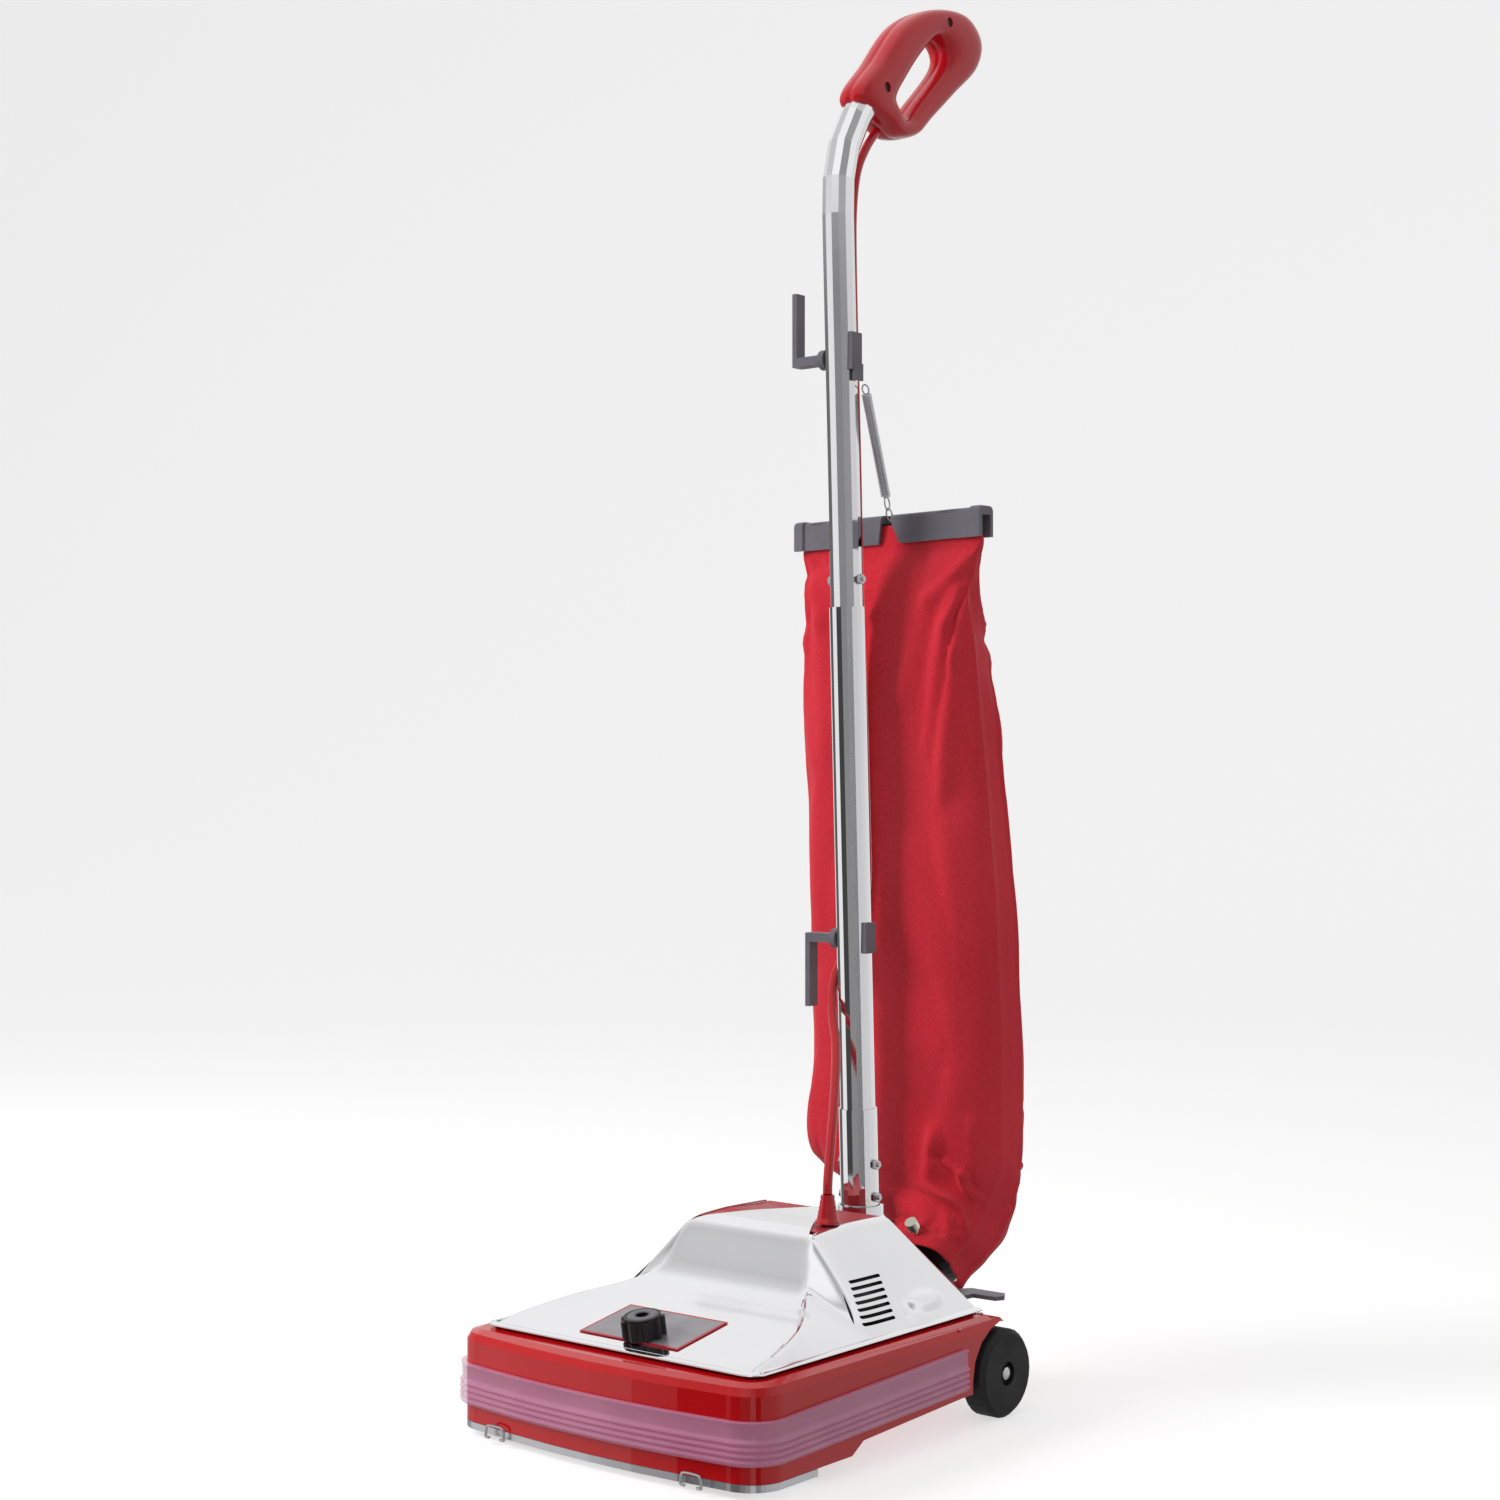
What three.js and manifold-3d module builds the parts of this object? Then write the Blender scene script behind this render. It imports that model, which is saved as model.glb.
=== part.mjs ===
// Upright vacuum cleaner with a cloth bag and a 12 inch cleaning path, as an assembly of separate pieces.
// Millimetres, +Z up. The front is -Y and the right side, as its user sees it from behind, is +X.
// In this file Y = 0 is the rear axle; the end of the file moves the assembly so that Y = 0 is its middle.

import * as THREE from 'three';
import { mergeVertices } from 'three/addons/utils/BufferGeometryUtils.js';
import Module from 'manifold-3d';

const wasm = await Module();
wasm.setup();

// ---------------------------------------------------------------------------------------------
// Driving dimensions
// ---------------------------------------------------------------------------------------------

const gap = 0.3; // between pieces that touch
const over = 1; // how far a cutting body runs past the face that it opens
const far = 200; // past every side of the object, for cuts that go right through
const inch = 25.4;

const body = {
  halfWidth: 162,
  front: -334,
  rear: 6,
  cornerRadius: 30,
  bow: 9,
  bottom: 12,
  top: 85,
  shoulder: 12,
  shoulderDrop: 8,
  wall: 4,
  panBottom: 27,
  panTop: 30,
};
const deckOpening = { halfWidth: 112, front: -276, rear: -24 };
const bumperSize = { thick: 5.7, frontBottom: 26, rearBottom: 33, frontTop: 59, rearTop: 67, rear: -56 };
const guard = { bottom: 6, thick: 2.5, rear: -252, lip: 6 };
const nozzle = { halfWidth: 140, front: -319, rear: -264 };

const hoodSize = {
  halfWidth: 140,
  topHalfWidth: 67,
  foot: 88,
  ridge: 160,
  sheet: 1.2,
  front: -302,
  rear: -4,
  flange: 5,
  rearLean: 0.415, // how far the rear edge runs forward for each millimetre up
  tongueRoot: -150,
  tongueTip: -26,
  notchHalfWidth: 64,
};
const panel = { front: -302, low: 90, rear: -188, high: 110 }; // the hood's sloping front panel
const hoodLine = [
  [panel.front, panel.low],
  [-200, 107.9],
  [-182, 112.2],
  [-167, 118],
  [-157, 127],
  [-150, 140],
  [-146, 151],
  [-139, 159.5],
  [-125, 162.5],
  [-90, 164],
  [-50, 162],
]; // y and z of the hood's top along its middle
const panelSlope = Math.atan2(panel.high - panel.low, panel.rear - panel.front);
const panelHeight = (y) => panel.low + (y - panel.front) * Math.tan(panelSlope);
const label = { x: 2, y: -260.5, wide: 104, deep: 62, thick: 0.8 };
const knobPlace = { x: 9, y: -279 };
const knobSize = { radius: 15, height: 17, lobes: 9, lobeRadius: 3, socket: 5 };
const bootPlace = { x: 55, y: -101 };
const ventCount = 6;
const vent = { pitch: 5.6, height: 2.8, length: 40, step: -2.6, top: 126, front: -133 };

const axle = { y: 0, z: 37, radius: 4 };
const rearWheel = { radius: 37, width: 24, outer: 168, bore: 4.4, recess: 10, recessDepth: 5 };
const roller = { y: -232, z: 12, radius: 12, width: 16, x: 104, bore: 3.3 };
const carriagePivot = { y: -196, z: 38 };

const motorAxis = { z: 72 };
const motorSize = { radius: 39, front: -112, rear: -32, wall: 3 };
const chamber = { radius: 41, front: -160, rear: -116, wall: 3, inlet: 16 };
const shaftRadius = 4;
const agitator = { y: -290, z: 29, core: 17, groove: 15, tip: 25, halfLength: 136 };
const beltRadius = 1.6;
const pulleyGroove = 5;

const pivot = { y: 20, z: 102, radius: 5 };
const tilt = THREE.MathUtils.degToRad(2.05); // forward lean of the handle in its upright lock
const sleeve = { radius: 17, inner: 15.8, bottom: 146, top: 244 };
const midTube = { radius: 15.5, inner: 14.6, bottom: 150, top: 688 };
const topTube = { radius: (1.125 * inch) / 2, inner: 13, bottom: 620, bendStart: 1056 };
const boltRadius = 2;

const gripHalfThick = 19;
const cordRadius = 4;
const gripScrews = { grip_screw_rear: [35, 1155], grip_screw_front: [133, 1237] };
const collar = { x: 64, y: 30, z: 113, radius: 32, lift: THREE.MathUtils.degToRad(49) };

// ---------------------------------------------------------------------------------------------
// Materials
// ---------------------------------------------------------------------------------------------

const material = (color, roughness, metalness) =>
  new THREE.MeshStandardMaterial({ color, roughness, metalness });

const redGloss = material('#c01420', 0.25, 0);
const redMatte = material('#b01a26', 0.5, 0);
const chrome = material('#d8dadd', 0.08, 1);
const steel = material('#a9adb2', 0.35, 1);
const brass = material('#c9bd9a', 0.35, 1);
const greyPlastic = material('#6c6c74', 0.55, 0);
const blackPlastic = material('#1c1c1e', 0.5, 0);
const rubber = material('#151516', 0.8, 0);
const clearVinyl = material('#c58fc0', 0.3, 0);
const labelGrey = material('#5d5a5e', 0.5, 0.3);
const fabric = material('#cf2233', 0.9, 0);
const redCable = material('#c8101c', 0.4, 0);
const copper = material('#9a5a34', 0.4, 1);
const bristle = material('#2a2420', 0.95, 0);

// ---------------------------------------------------------------------------------------------
// Solids, from three.js geometries and joined or cut by the solid library
// ---------------------------------------------------------------------------------------------

/** A three.js geometry as a solid of the boolean library. */
function toSolid(geometry) {
  const bare = geometry.clone();
  bare.deleteAttribute('normal');
  bare.deleteAttribute('uv');
  const merged = mergeVertices(bare, 1e-4);
  const vertProperties = new Float32Array(merged.attributes.position.array);
  const triVerts = new Uint32Array(merged.index.array);
  return new wasm.Manifold(new wasm.Mesh({ numProp: 3, vertProperties, triVerts }));
}

/** A solid of the boolean library as a three.js geometry. */
function toGeometry(solid) {
  const mesh = solid.getMesh();
  const geometry = new THREE.BufferGeometry();
  geometry.setAttribute('position', new THREE.BufferAttribute(new Float32Array(mesh.vertProperties), 3));
  geometry.setIndex(new THREE.BufferAttribute(new Uint32Array(mesh.triVerts), 1));
  geometry.computeVertexNormals();
  return geometry;
}

const join = (first, ...others) => others.reduce((sum, other) => sum.add(other), first);
const cut = (first, ...others) => others.reduce((rest, other) => rest.subtract(other), first);

/** A box between two corners. */
function boxSolid(x0, x1, y0, y1, z0, z1) {
  const geometry = new THREE.BoxGeometry(x1 - x0, y1 - y0, z1 - z0);
  geometry.translate((x0 + x1) / 2, (y0 + y1) / 2, (z0 + z1) / 2);
  return toSolid(geometry);
}

/** A closed outline of points as a shape. */
const outline = (points) => new THREE.Shape(points.map(([u, v]) => new THREE.Vector2(u, v)));

/** A shape in the XY plane, raised from z0 to z1. */
function raise(shape, z0, z1, curveSegments = 6) {
  const geometry = new THREE.ExtrudeGeometry(shape, { depth: z1 - z0, bevelEnabled: false, curveSegments });
  geometry.translate(0, 0, z0);
  return toSolid(geometry);
}

/** A shape whose axes are (Y, Z), swept along X from x0 to x1. */
function sweepX(shape, x0, x1, curveSegments = 6) {
  const geometry = new THREE.ExtrudeGeometry(shape, { depth: x1 - x0, bevelEnabled: false, curveSegments });
  const turn = new THREE.Matrix4().makeBasis(
    new THREE.Vector3(0, 1, 0),
    new THREE.Vector3(0, 0, 1),
    new THREE.Vector3(1, 0, 0),
  );
  geometry.applyMatrix4(turn);
  geometry.translate(x0, 0, 0);
  return toSolid(geometry);
}

/** A shape whose axes are (-X, Z), swept along Y from y0 to y1. The shapes used are symmetrical. */
function sweepY(shape, y0, y1, curveSegments = 6) {
  const geometry = new THREE.ExtrudeGeometry(shape, { depth: y1 - y0, bevelEnabled: false, curveSegments });
  const turn = new THREE.Matrix4().makeBasis(
    new THREE.Vector3(-1, 0, 0),
    new THREE.Vector3(0, 0, 1),
    new THREE.Vector3(0, 1, 0),
  );
  geometry.applyMatrix4(turn);
  geometry.translate(0, y0, 0);
  return toSolid(geometry);
}

const axisTurn = {
  x: new THREE.Matrix4().makeRotationZ(-Math.PI / 2),
  y: new THREE.Matrix4(),
  z: new THREE.Matrix4().makeRotationX(Math.PI / 2),
};

/** A cylinder from one end to the other along 'x', 'y' or 'z'; across holds the other two coordinates. */
function rodSolid(axis, radius, from, to, across, sides = 16) {
  const geometry = new THREE.CylinderGeometry(radius, radius, to - from, sides);
  geometry.applyMatrix4(axisTurn[axis]);
  const middle = (from + to) / 2;
  const centre = {
    x: [middle, across[0], across[1]],
    y: [across[0], middle, across[1]],
    z: [across[0], across[1], middle],
  }[axis];
  geometry.translate(...centre);
  return toSolid(geometry);
}

/** A body of revolution about the Y axis, from a closed profile of [radius, height] points. */
function turned(profile, sides = 18) {
  const points = profile.map(([radius, height]) => new THREE.Vector2(radius, height));
  const closed = profile[0][0] === 0 ? points : [...points, points[0].clone()];
  return new THREE.LatheGeometry(closed, sides);
}

/** The same body as a solid, with its axis laid along 'x', 'y' or 'z' and its origin moved. */
function turnedSolid(axis, profile, origin, sides = 18) {
  const geometry = turned(profile, sides);
  const raw = toSolid(geometry);
  const upright = raw.volume() < 0 ? toSolid(geometry.clone().scale(-1, 1, 1)) : raw;
  const oriented = toGeometry(upright);
  oriented.applyMatrix4(axisTurn[axis]);
  oriented.translate(...origin);
  return toSolid(oriented);
}

/** A ring profile for turned(): a wall between two radii and two heights. */
const ringProfile = (inner, outer, low, high) => [
  [inner, low],
  [outer, low],
  [outer, high],
  [inner, high],
];

/** A round bar or pipe along a curve; sides is an even number. */
function pipeSolid(curve, radius, steps, sides = 12, innerRadius = 0) {
  const shape = new THREE.Shape();
  shape.absarc(0, 0, radius, 0, Math.PI * 2);
  if (innerRadius > 0) {
    const hole = new THREE.Path();
    hole.absarc(0, 0, innerRadius, 0, Math.PI * 2);
    shape.holes.push(hole);
  }
  const options = { steps, extrudePath: curve, curveSegments: sides / 2 };
  return toSolid(new THREE.ExtrudeGeometry(shape, options));
}

const through = (points) =>
  new THREE.CatmullRomCurve3(points.map((point) => new THREE.Vector3(...point)), false, 'centripetal');

/** A skin over rings of equal point counts, closed at both ends. */
function loft(rings) {
  const count = rings[0].length;
  const positions = rings.flat().flatMap((point) => [point.x, point.y, point.z]);
  const indices = [];
  for (let level = 0; level < rings.length - 1; level += 1) {
    for (let side = 0; side < count; side += 1) {
      const a = level * count + side;
      const b = level * count + ((side + 1) % count);
      indices.push(a, b, b + count, a, b + count, a + count);
    }
  }
  const last = (rings.length - 1) * count;
  for (let side = 1; side < count - 1; side += 1) {
    indices.push(0, side + 1, side);
    indices.push(last, last + side, last + side + 1);
  }
  const geometry = new THREE.BufferGeometry();
  geometry.setAttribute('position', new THREE.Float32BufferAttribute(positions, 3));
  geometry.setIndex(indices);
  return toSolid(geometry);
}

// ---------------------------------------------------------------------------------------------
// The assembly: each piece is one named mesh
// ---------------------------------------------------------------------------------------------

const machine = new THREE.Group();

/** Adds one piece, and returns its mesh so that it can be placed. */
function piece(name, solid, look, parent = machine) {
  const mesh = new THREE.Mesh(toGeometry(solid), look);
  mesh.name = name;
  parent.add(mesh);
  return mesh;
}

// ---------------------------------------------------------------------------------------------
// Base: red housing, bumper, nozzle plate with its two clips
// ---------------------------------------------------------------------------------------------

/** The plan of the base, moved out by outset, with a bowed front between two round corners. */
function planShape(outset, rear) {
  const half = body.halfWidth + outset;
  const radius = body.cornerRadius + outset;
  const corner = body.front + body.bow - outset;
  const shape = new THREE.Shape();
  shape.moveTo(half, rear);
  shape.lineTo(half, corner + radius);
  shape.absarc(half - radius, corner + radius, radius, 0, -Math.PI / 2, true);
  shape.quadraticCurveTo(0, corner - 2 * body.bow, radius - half, corner);
  shape.absarc(radius - half, corner + radius, radius, -Math.PI / 2, -Math.PI, true);
  shape.lineTo(-half, rear);
  shape.closePath();
  return shape;
}

/** The outside of the base as a full block, with its sloping shoulder around the top. */
function baseBlock() {
  const belowFloor = 30;
  const geometry = new THREE.ExtrudeGeometry(planShape(0, body.rear), {
    depth: body.top - body.shoulderDrop + belowFloor,
    bevelEnabled: true,
    bevelThickness: body.shoulderDrop,
    bevelSize: body.shoulder,
    bevelOffset: -body.shoulder,
    bevelSegments: 2,
    curveSegments: 6,
  });
  geometry.translate(0, 0, -belowFloor);
  return cut(toSolid(geometry), boxSolid(-far, far, -2 * far, far, -2 * belowFloor, body.bottom));
}

/** The cast saddle that the motor lies in. */
function motorCradle() {
  const { front, rear, radius } = motorSize;
  const half = radius + 4;
  const block = boxSolid(-half, half, front + 8, rear - 8, body.panBottom, motorAxis.z - 8);
  return cut(block, rodSolid('y', radius + gap, front, rear, [0, motorAxis.z], 32));
}

function baseHousing() {
  const { wall, top, rear, panBottom, panTop } = body;
  const cavity = raise(planShape(-wall, rear - wall), body.bottom - over, top - wall);
  const { halfWidth, front, rear: deckRear } = deckOpening;
  const deckHole = boxSolid(-halfWidth, halfWidth, front, deckRear, top - wall - over, top + over);
  const archRadius = rearWheel.radius + 6;
  const archInner = rearWheel.outer - rearWheel.width - 5;
  const arch = join(
    rodSolid('x', archRadius, archInner, far, [axle.y, axle.z]),
    boxSolid(archInner, far, axle.y - archRadius, axle.y + archRadius, 0, axle.z),
  );
  const mirroredArch = arch.mirror([1, 0, 0]);
  const underCut = sweepX(
    outline([
      [-209, 0],
      [-209, 12],
      [-194, 21],
      [-58, panBottom],
      [60, panBottom],
      [60, 0],
    ]),
    -far,
    far,
  );
  const shell = cut(baseBlock(), cavity, deckHole);
  const frontOfPan = -204;
  const pan = boxSolid(-body.halfWidth + 2, body.halfWidth - 2, frontOfPan, rear - 2, panBottom, panTop);
  const wellFront = -60;
  const wellWalls = [-1, 1].map((side) => {
    const inner = side * (archInner - wall);
    const outer = side * archInner;
    return boxSolid(Math.min(inner, outer), Math.max(inner, outer), wellFront, rear, panBottom, top - 2);
  });
  const wellFronts = [-1, 1].map((side) => {
    const inner = side * (archInner - wall);
    const outer = side * (body.halfWidth - 2);
    const x0 = Math.min(inner, outer);
    const x1 = Math.max(inner, outer);
    return boxSolid(x0, x1, wellFront, wellFront + wall, panBottom, top - 2);
  });
  const axleHole = rodSolid('x', axle.radius + gap, -far, far, [axle.y, axle.z]);
  const handleNotch = boxSolid(-34, 34, -2, rear + over, 60, top + over);
  const pivotHole = rodSolid('x', 3.3, -far, far, [carriagePivot.y, carriagePivot.z]);
  const openings = [underCut, arch, mirroredArch, axleHole, handleNotch, pivotHole];
  return cut(join(shell, pan, motorCradle(), ...wellWalls, ...wellFronts), ...openings);
}

function bumperStrip() {
  const { thick, frontBottom, rearBottom, frontTop, rearTop, rear } = bumperSize;
  const slopeStart = -300;
  const band = sweepX(
    outline([
      [-400, frontBottom],
      [slopeStart, frontBottom],
      [rear + over, rearBottom],
      [rear + over, rearTop],
      [slopeStart, frontTop],
      [-400, frontTop],
    ]),
    -200,
    200,
  );
  const outside = raise(planShape(gap + thick, rear), frontBottom - over, rearTop + over);
  const inside = raise(planShape(gap, rear + over), frontBottom - 2 * over, rearTop + 2 * over);
  return cut(outside, inside).intersect(band);
}

function nozzlePlate() {
  const { bottom, thick, rear, lip } = guard;
  const plate = raise(planShape(0, rear), bottom, bottom + thick);
  const rim = cut(
    raise(planShape(0, rear), bottom, bottom + lip - gap),
    raise(planShape(-2.5, rear + over), bottom - over, bottom + lip),
  );
  const { halfWidth, front, rear: nozzleRear } = nozzle;
  const mouth = boxSolid(-halfWidth, halfWidth, front, nozzleRear, bottom - over, bottom + lip);
  return cut(join(plate, rim), mouth);
}

/** A wire loop that hooks the nozzle plate to the front of the base. */
function guardClip(x) {
  const y = body.front + body.bow / 2 - 3.4;
  const halfLoop = 10;
  const low = guard.bottom - 1.5;
  const high = 16;
  const bend = 3;
  const wire = through([
    [x - halfLoop + 5, y, low],
    [x - halfLoop, y, low],
    [x - halfLoop, y, low + bend],
    [x - halfLoop + 2, y, high - bend],
    [x - halfLoop + 5, y, high],
    [x + halfLoop - 5, y, high],
    [x + halfLoop - 2, y, high - bend],
    [x + halfLoop, y, low + bend],
    [x + halfLoop, y, low],
    [x + halfLoop - 5, y, low],
  ]);
  return pipeSolid(wire, 1.1, 15, 6);
}

piece('base_housing', baseHousing(), redGloss);
piece('bumper_strip', bumperStrip(), clearVinyl);
piece('nozzle_plate', nozzlePlate(), chrome);
piece('plate_clip_left', guardClip(-104), chrome);
piece('plate_clip_right', guardClip(104), chrome);

// ---------------------------------------------------------------------------------------------
// Chrome hood, red cover inside its rear, label plate
// ---------------------------------------------------------------------------------------------

/** A polyline of [y, z] points, each moved down and in by inset along the line's own slope there. */
function insetLine(points, inset) {
  return points.map(([y, z], index) => {
    const [y0, z0] = points[Math.max(0, index - 1)];
    const [y1, z1] = points[Math.min(points.length - 1, index + 1)];
    const length = Math.hypot(y1 - y0, z1 - z0);
    return [y + (inset * (z1 - z0)) / length, z - (inset * (y1 - y0)) / length];
  });
}

/** The outline of the hood, seen from the side, with its top moved in by inset. */
function hoodProfile(inset, front, rear, floor) {
  const { foot, rearLean } = hoodSize;
  const top = insetLine(hoodLine, inset).filter(([y]) => y > front);
  const [, frontHeight] = insetLine(hoodLine, inset)[0];
  const rearHeight = top[top.length - 1][1];
  return outline([
    [front, floor],
    [front, Math.max(frontHeight, floor + over)],
    ...top,
    [rear - rearLean * (rearHeight - foot), rearHeight],
    [rear, foot],
    [rear, floor],
  ]);
}

/** The slanted sides of the hood, seen from the front. */
function hoodSection(inset, floor) {
  const { halfWidth, topHalfWidth, foot, ridge } = hoodSize;
  const slope = (halfWidth - topHalfWidth) / (ridge - foot);
  const ceiling = ridge + 20;
  const foothold = halfWidth - inset * Math.SQRT2;
  const head = foothold - slope * (ceiling - foot);
  return outline([
    [-foothold, floor],
    [-foothold, foot],
    [-head, ceiling],
    [head, ceiling],
    [foothold, foot],
    [foothold, floor],
  ]);
}

function hoodSolid(inset, front, rear, floor) {
  const side = sweepX(hoodProfile(inset, front, rear, floor), -200, 200);
  return side.intersect(sweepY(hoodSection(inset, floor), front - over, rear + over));
}

/** What is left open behind the tongue of the hood's top. */
function hoodNotch(margin) {
  const { tongueRoot, tongueTip, notchHalfWidth, rear } = hoodSize;
  const half = notchHalfWidth - margin;
  const steps = 12;
  const bluntness = 1.9; // 1 is a half ellipse, 2 a straight-sided point
  const tongue = Array.from({ length: steps + 1 }, (_, index) => {
    const angle = (Math.PI * index) / steps;
    const across = Math.sign(Math.cos(angle)) * Math.abs(Math.cos(angle)) ** bluntness;
    const along = index === 0 || index === steps ? 0 : Math.sin(angle) ** bluntness;
    return [half * across, tongueRoot + (tongueTip - tongueRoot) * along];
  });
  return raise(outline([[half, rear + 20], ...tongue, [-half, rear + 20]]), 135, 200, 10);
}

/** One louvre opening in the right side of the hood. */
function ventCutter(index) {
  const z = vent.top - index * vent.pitch;
  const y = vent.front + index * vent.step;
  return boxSolid(80, 200, y, y + vent.length, z - vent.height / 2, z + vent.height / 2);
}

function hood() {
  const { sheet, front, rear, halfWidth, flange } = hoodSize;
  const floor = body.top + gap;
  const outside = hoodSolid(0, front, rear, floor);
  const inside = hoodSolid(sheet, front + sheet, rear + over, floor - over);
  const rim = cut(
    boxSolid(-halfWidth - flange, halfWidth + flange, front - flange, rear, floor, floor + 2),
    boxSolid(-halfWidth + 2, halfWidth - 2, front + 2, rear + over, floor - over, floor + 3),
  );
  const notch = hoodNotch(0);
  const slots = Array.from({ length: ventCount }, (_, index) => ventCutter(index));
  const knobHole = rodSolid('z', 5.5, 60, 120, [knobPlace.x, knobPlace.y]);
  return cut(join(cut(outside, inside), rim), notch, knobHole, ...slots);
}

function motorCover() {
  const { sheet, rear, tongueRoot } = hoodSize;
  const wall = 2.5;
  const inset = sheet + gap;
  const end = rear + 4;
  const floor = body.top + gap;
  const outside = hoodSolid(inset, tongueRoot + 12, end, floor);
  const inside = hoodSolid(inset + wall, tongueRoot, end - wall, floor - over);
  const handleSlot = boxSolid(-31, 31, -22, end + over, floor - over, 200);
  const ductHole = rodSolid('y', 25, end - 50, end + over, [collar.x + 2, 107]);
  const pedalGap = boxSolid(98, 150, end - 12, end + over, floor - over, 101);
  const bootHole = rodSolid('z', cordRadius + 1.5, 140, 170, [bootPlace.x, bootPlace.y]);
  const rims = [-1, 1].map((side) => {
    const x = side * (hoodSize.notchHalfWidth - 4);
    return boxSolid(x - 2.5, x + 2.5, bootPlace.y + 12, -36, 150, 159);
  });
  const ventRoom = boxSolid(80, 200, -160, -84, 88, 134);
  const clampRoom = boxSolid(34, 94, -16, end + over, 98, 200);
  const openings = [handleSlot, ductHole, clampRoom, pedalGap, bootHole, ventRoom];
  return cut(join(cut(outside, inside), ...rims), ...openings);
}

/** A thin plate that lies on the sloping front panel of the hood. */
function labelPlate() {
  const geometry = new THREE.BoxGeometry(label.wide, label.deep, label.thick);
  const hole = [knobPlace.x - label.x, (knobPlace.y - label.y) / Math.cos(panelSlope)];
  const plate = cut(toSolid(geometry), rodSolid('z', 6, -5, 5, hole));
  const mesh = piece('label_plate', plate, labelGrey);
  const lift = (gap + label.thick / 2) / Math.cos(panelSlope);
  mesh.position.set(label.x, label.y, panelHeight(label.y) + lift);
  mesh.rotation.x = panelSlope;
}

piece('hood', hood(), chrome);
piece('motor_cover', motorCover(), redMatte);
labelPlate();


// ---------------------------------------------------------------------------------------------
// Rear wheels on their axle
// ---------------------------------------------------------------------------------------------

const wheelProfile = [
  [rearWheel.bore, 0],
  [rearWheel.radius - 3, 0],
  [rearWheel.radius, 3],
  [rearWheel.radius, rearWheel.width - 4],
  [rearWheel.radius - 4, rearWheel.width],
  [rearWheel.recess, rearWheel.width],
  [rearWheel.recess, rearWheel.width - rearWheel.recessDepth],
  [rearWheel.bore, rearWheel.width - rearWheel.recessDepth],
];

const wheelSolid = turnedSolid('y', wheelProfile, [0, 0, 0], 28);
const wheelInner = rearWheel.outer - rearWheel.width;

for (const [name, side] of [['wheel_left', -1], ['wheel_right', 1]]) {
  const mesh = piece(name, wheelSolid, rubber);
  mesh.rotation.z = -side * Math.PI / 2;
  mesh.position.set(side * wheelInner, axle.y, axle.z);
}

const axleReach = rearWheel.outer - 1;
piece('rear_axle', rodSolid('x', axle.radius, -axleReach, axleReach, [axle.y, axle.z]), steel);

// ---------------------------------------------------------------------------------------------
// Front rollers on a swinging carriage, set by the height knob
// ---------------------------------------------------------------------------------------------

function rollerCarriage() {
  const halfWide = roller.x + roller.width / 2 + 8;
  const plate = sweepX(
    outline([
      [carriagePivot.y - 6, carriagePivot.z - 3],
      [carriagePivot.y + 6, carriagePivot.z - 3],
      [carriagePivot.y + 6, carriagePivot.z + 7],
      [carriagePivot.y - 6, carriagePivot.z + 7],
      [roller.y - 4, roller.z + 20],
      [roller.y - 4, roller.z + 16],
    ]),
    -halfWide,
    halfWide,
  );
  const cheeks = [-1, 1].flatMap((side) =>
    [-1, 1].map((face) => {
      const x = side * roller.x + face * (roller.width / 2 + 3);
      return sweepX(
        outline([
          [roller.y - 6, roller.z - 5],
          [roller.y + 6, roller.z - 5],
          [roller.y + 10, roller.z + 22],
          [roller.y - 4, roller.z + 19],
        ]),
        x - 1.5,
        x + 1.5,
      );
    }),
  );
  const room = [-1, 1].map((side) => {
    const x = side * roller.x;
    const half = roller.width / 2 + 1;
    return rodSolid('x', roller.radius + 2, x - half, x + half, [roller.y, roller.z]);
  });
  const tab = boxSolid(knobPlace.x - 7, knobPlace.x + 7, roller.y - 18, roller.y - 2, 28, 31);
  const rollerPinHole = rodSolid('x', 3 + gap, -200, 200, [roller.y, roller.z]);
  const pin = rodSolid('x', 3, -carriageReach, carriageReach, [carriagePivot.y, carriagePivot.z + 1], 14);
  return join(cut(join(plate, ...cheeks, tab), rollerPinHole, ...room), pin);
}

/** The stub under the knob, in the knob's own frame, with its eccentric cam under the hood. */
function heightSpindle() {
  const rod = rodSolid('z', 4.6, -5.6, -gap, [0, 0], 16);
  const cam = rodSolid('z', 8, -8.4, -5.2, [3, 0], 20);
  return join(rod, cam);
}

/** The lobed hand knob, with a round socket in its top. */
function heightKnob() {
  const { radius, height, lobes, lobeRadius, socket } = knobSize;
  const solid = rodSolid('z', radius, 0, height, [0, 0], 18);
  const ribs = Array.from({ length: lobes }, (_, index) => {
    const angle = (index / lobes) * 2 * Math.PI;
    const across = [radius * Math.cos(angle), radius * Math.sin(angle)];
    return rodSolid('z', lobeRadius, 0, height - 2, across, 8);
  });
  return cut(join(solid, ...ribs), rodSolid('z', socket, height - 7, height + over, [0, 0], 16));
}

const carriageReach = body.halfWidth - body.wall - 1;
piece('roller_carriage', rollerCarriage(), steel);
const rollerProfile = [
  [roller.bore, -roller.width / 2],
  [roller.radius - 2, -roller.width / 2],
  [roller.radius, -roller.width / 2 + 2],
  [roller.radius, roller.width / 2 - 2],
  [roller.radius - 2, roller.width / 2],
  [roller.bore, roller.width / 2],
];
for (const [name, side] of [['left', -1], ['right', 1]]) {
  const x = side * roller.x;
  piece(`front_roller_${name}`, turnedSolid('x', rollerProfile, [x, roller.y, roller.z], 18), rubber);
}
const rollerAxleReach = roller.x + roller.width / 2 + 7;
const rollerAxle = rodSolid('x', 3, -rollerAxleReach, rollerAxleReach, [roller.y, roller.z], 14);
piece('roller_axle', rollerAxle, steel);
const knobFoot = panelHeight(knobPlace.y) + 2 * gap + label.thick;
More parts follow.
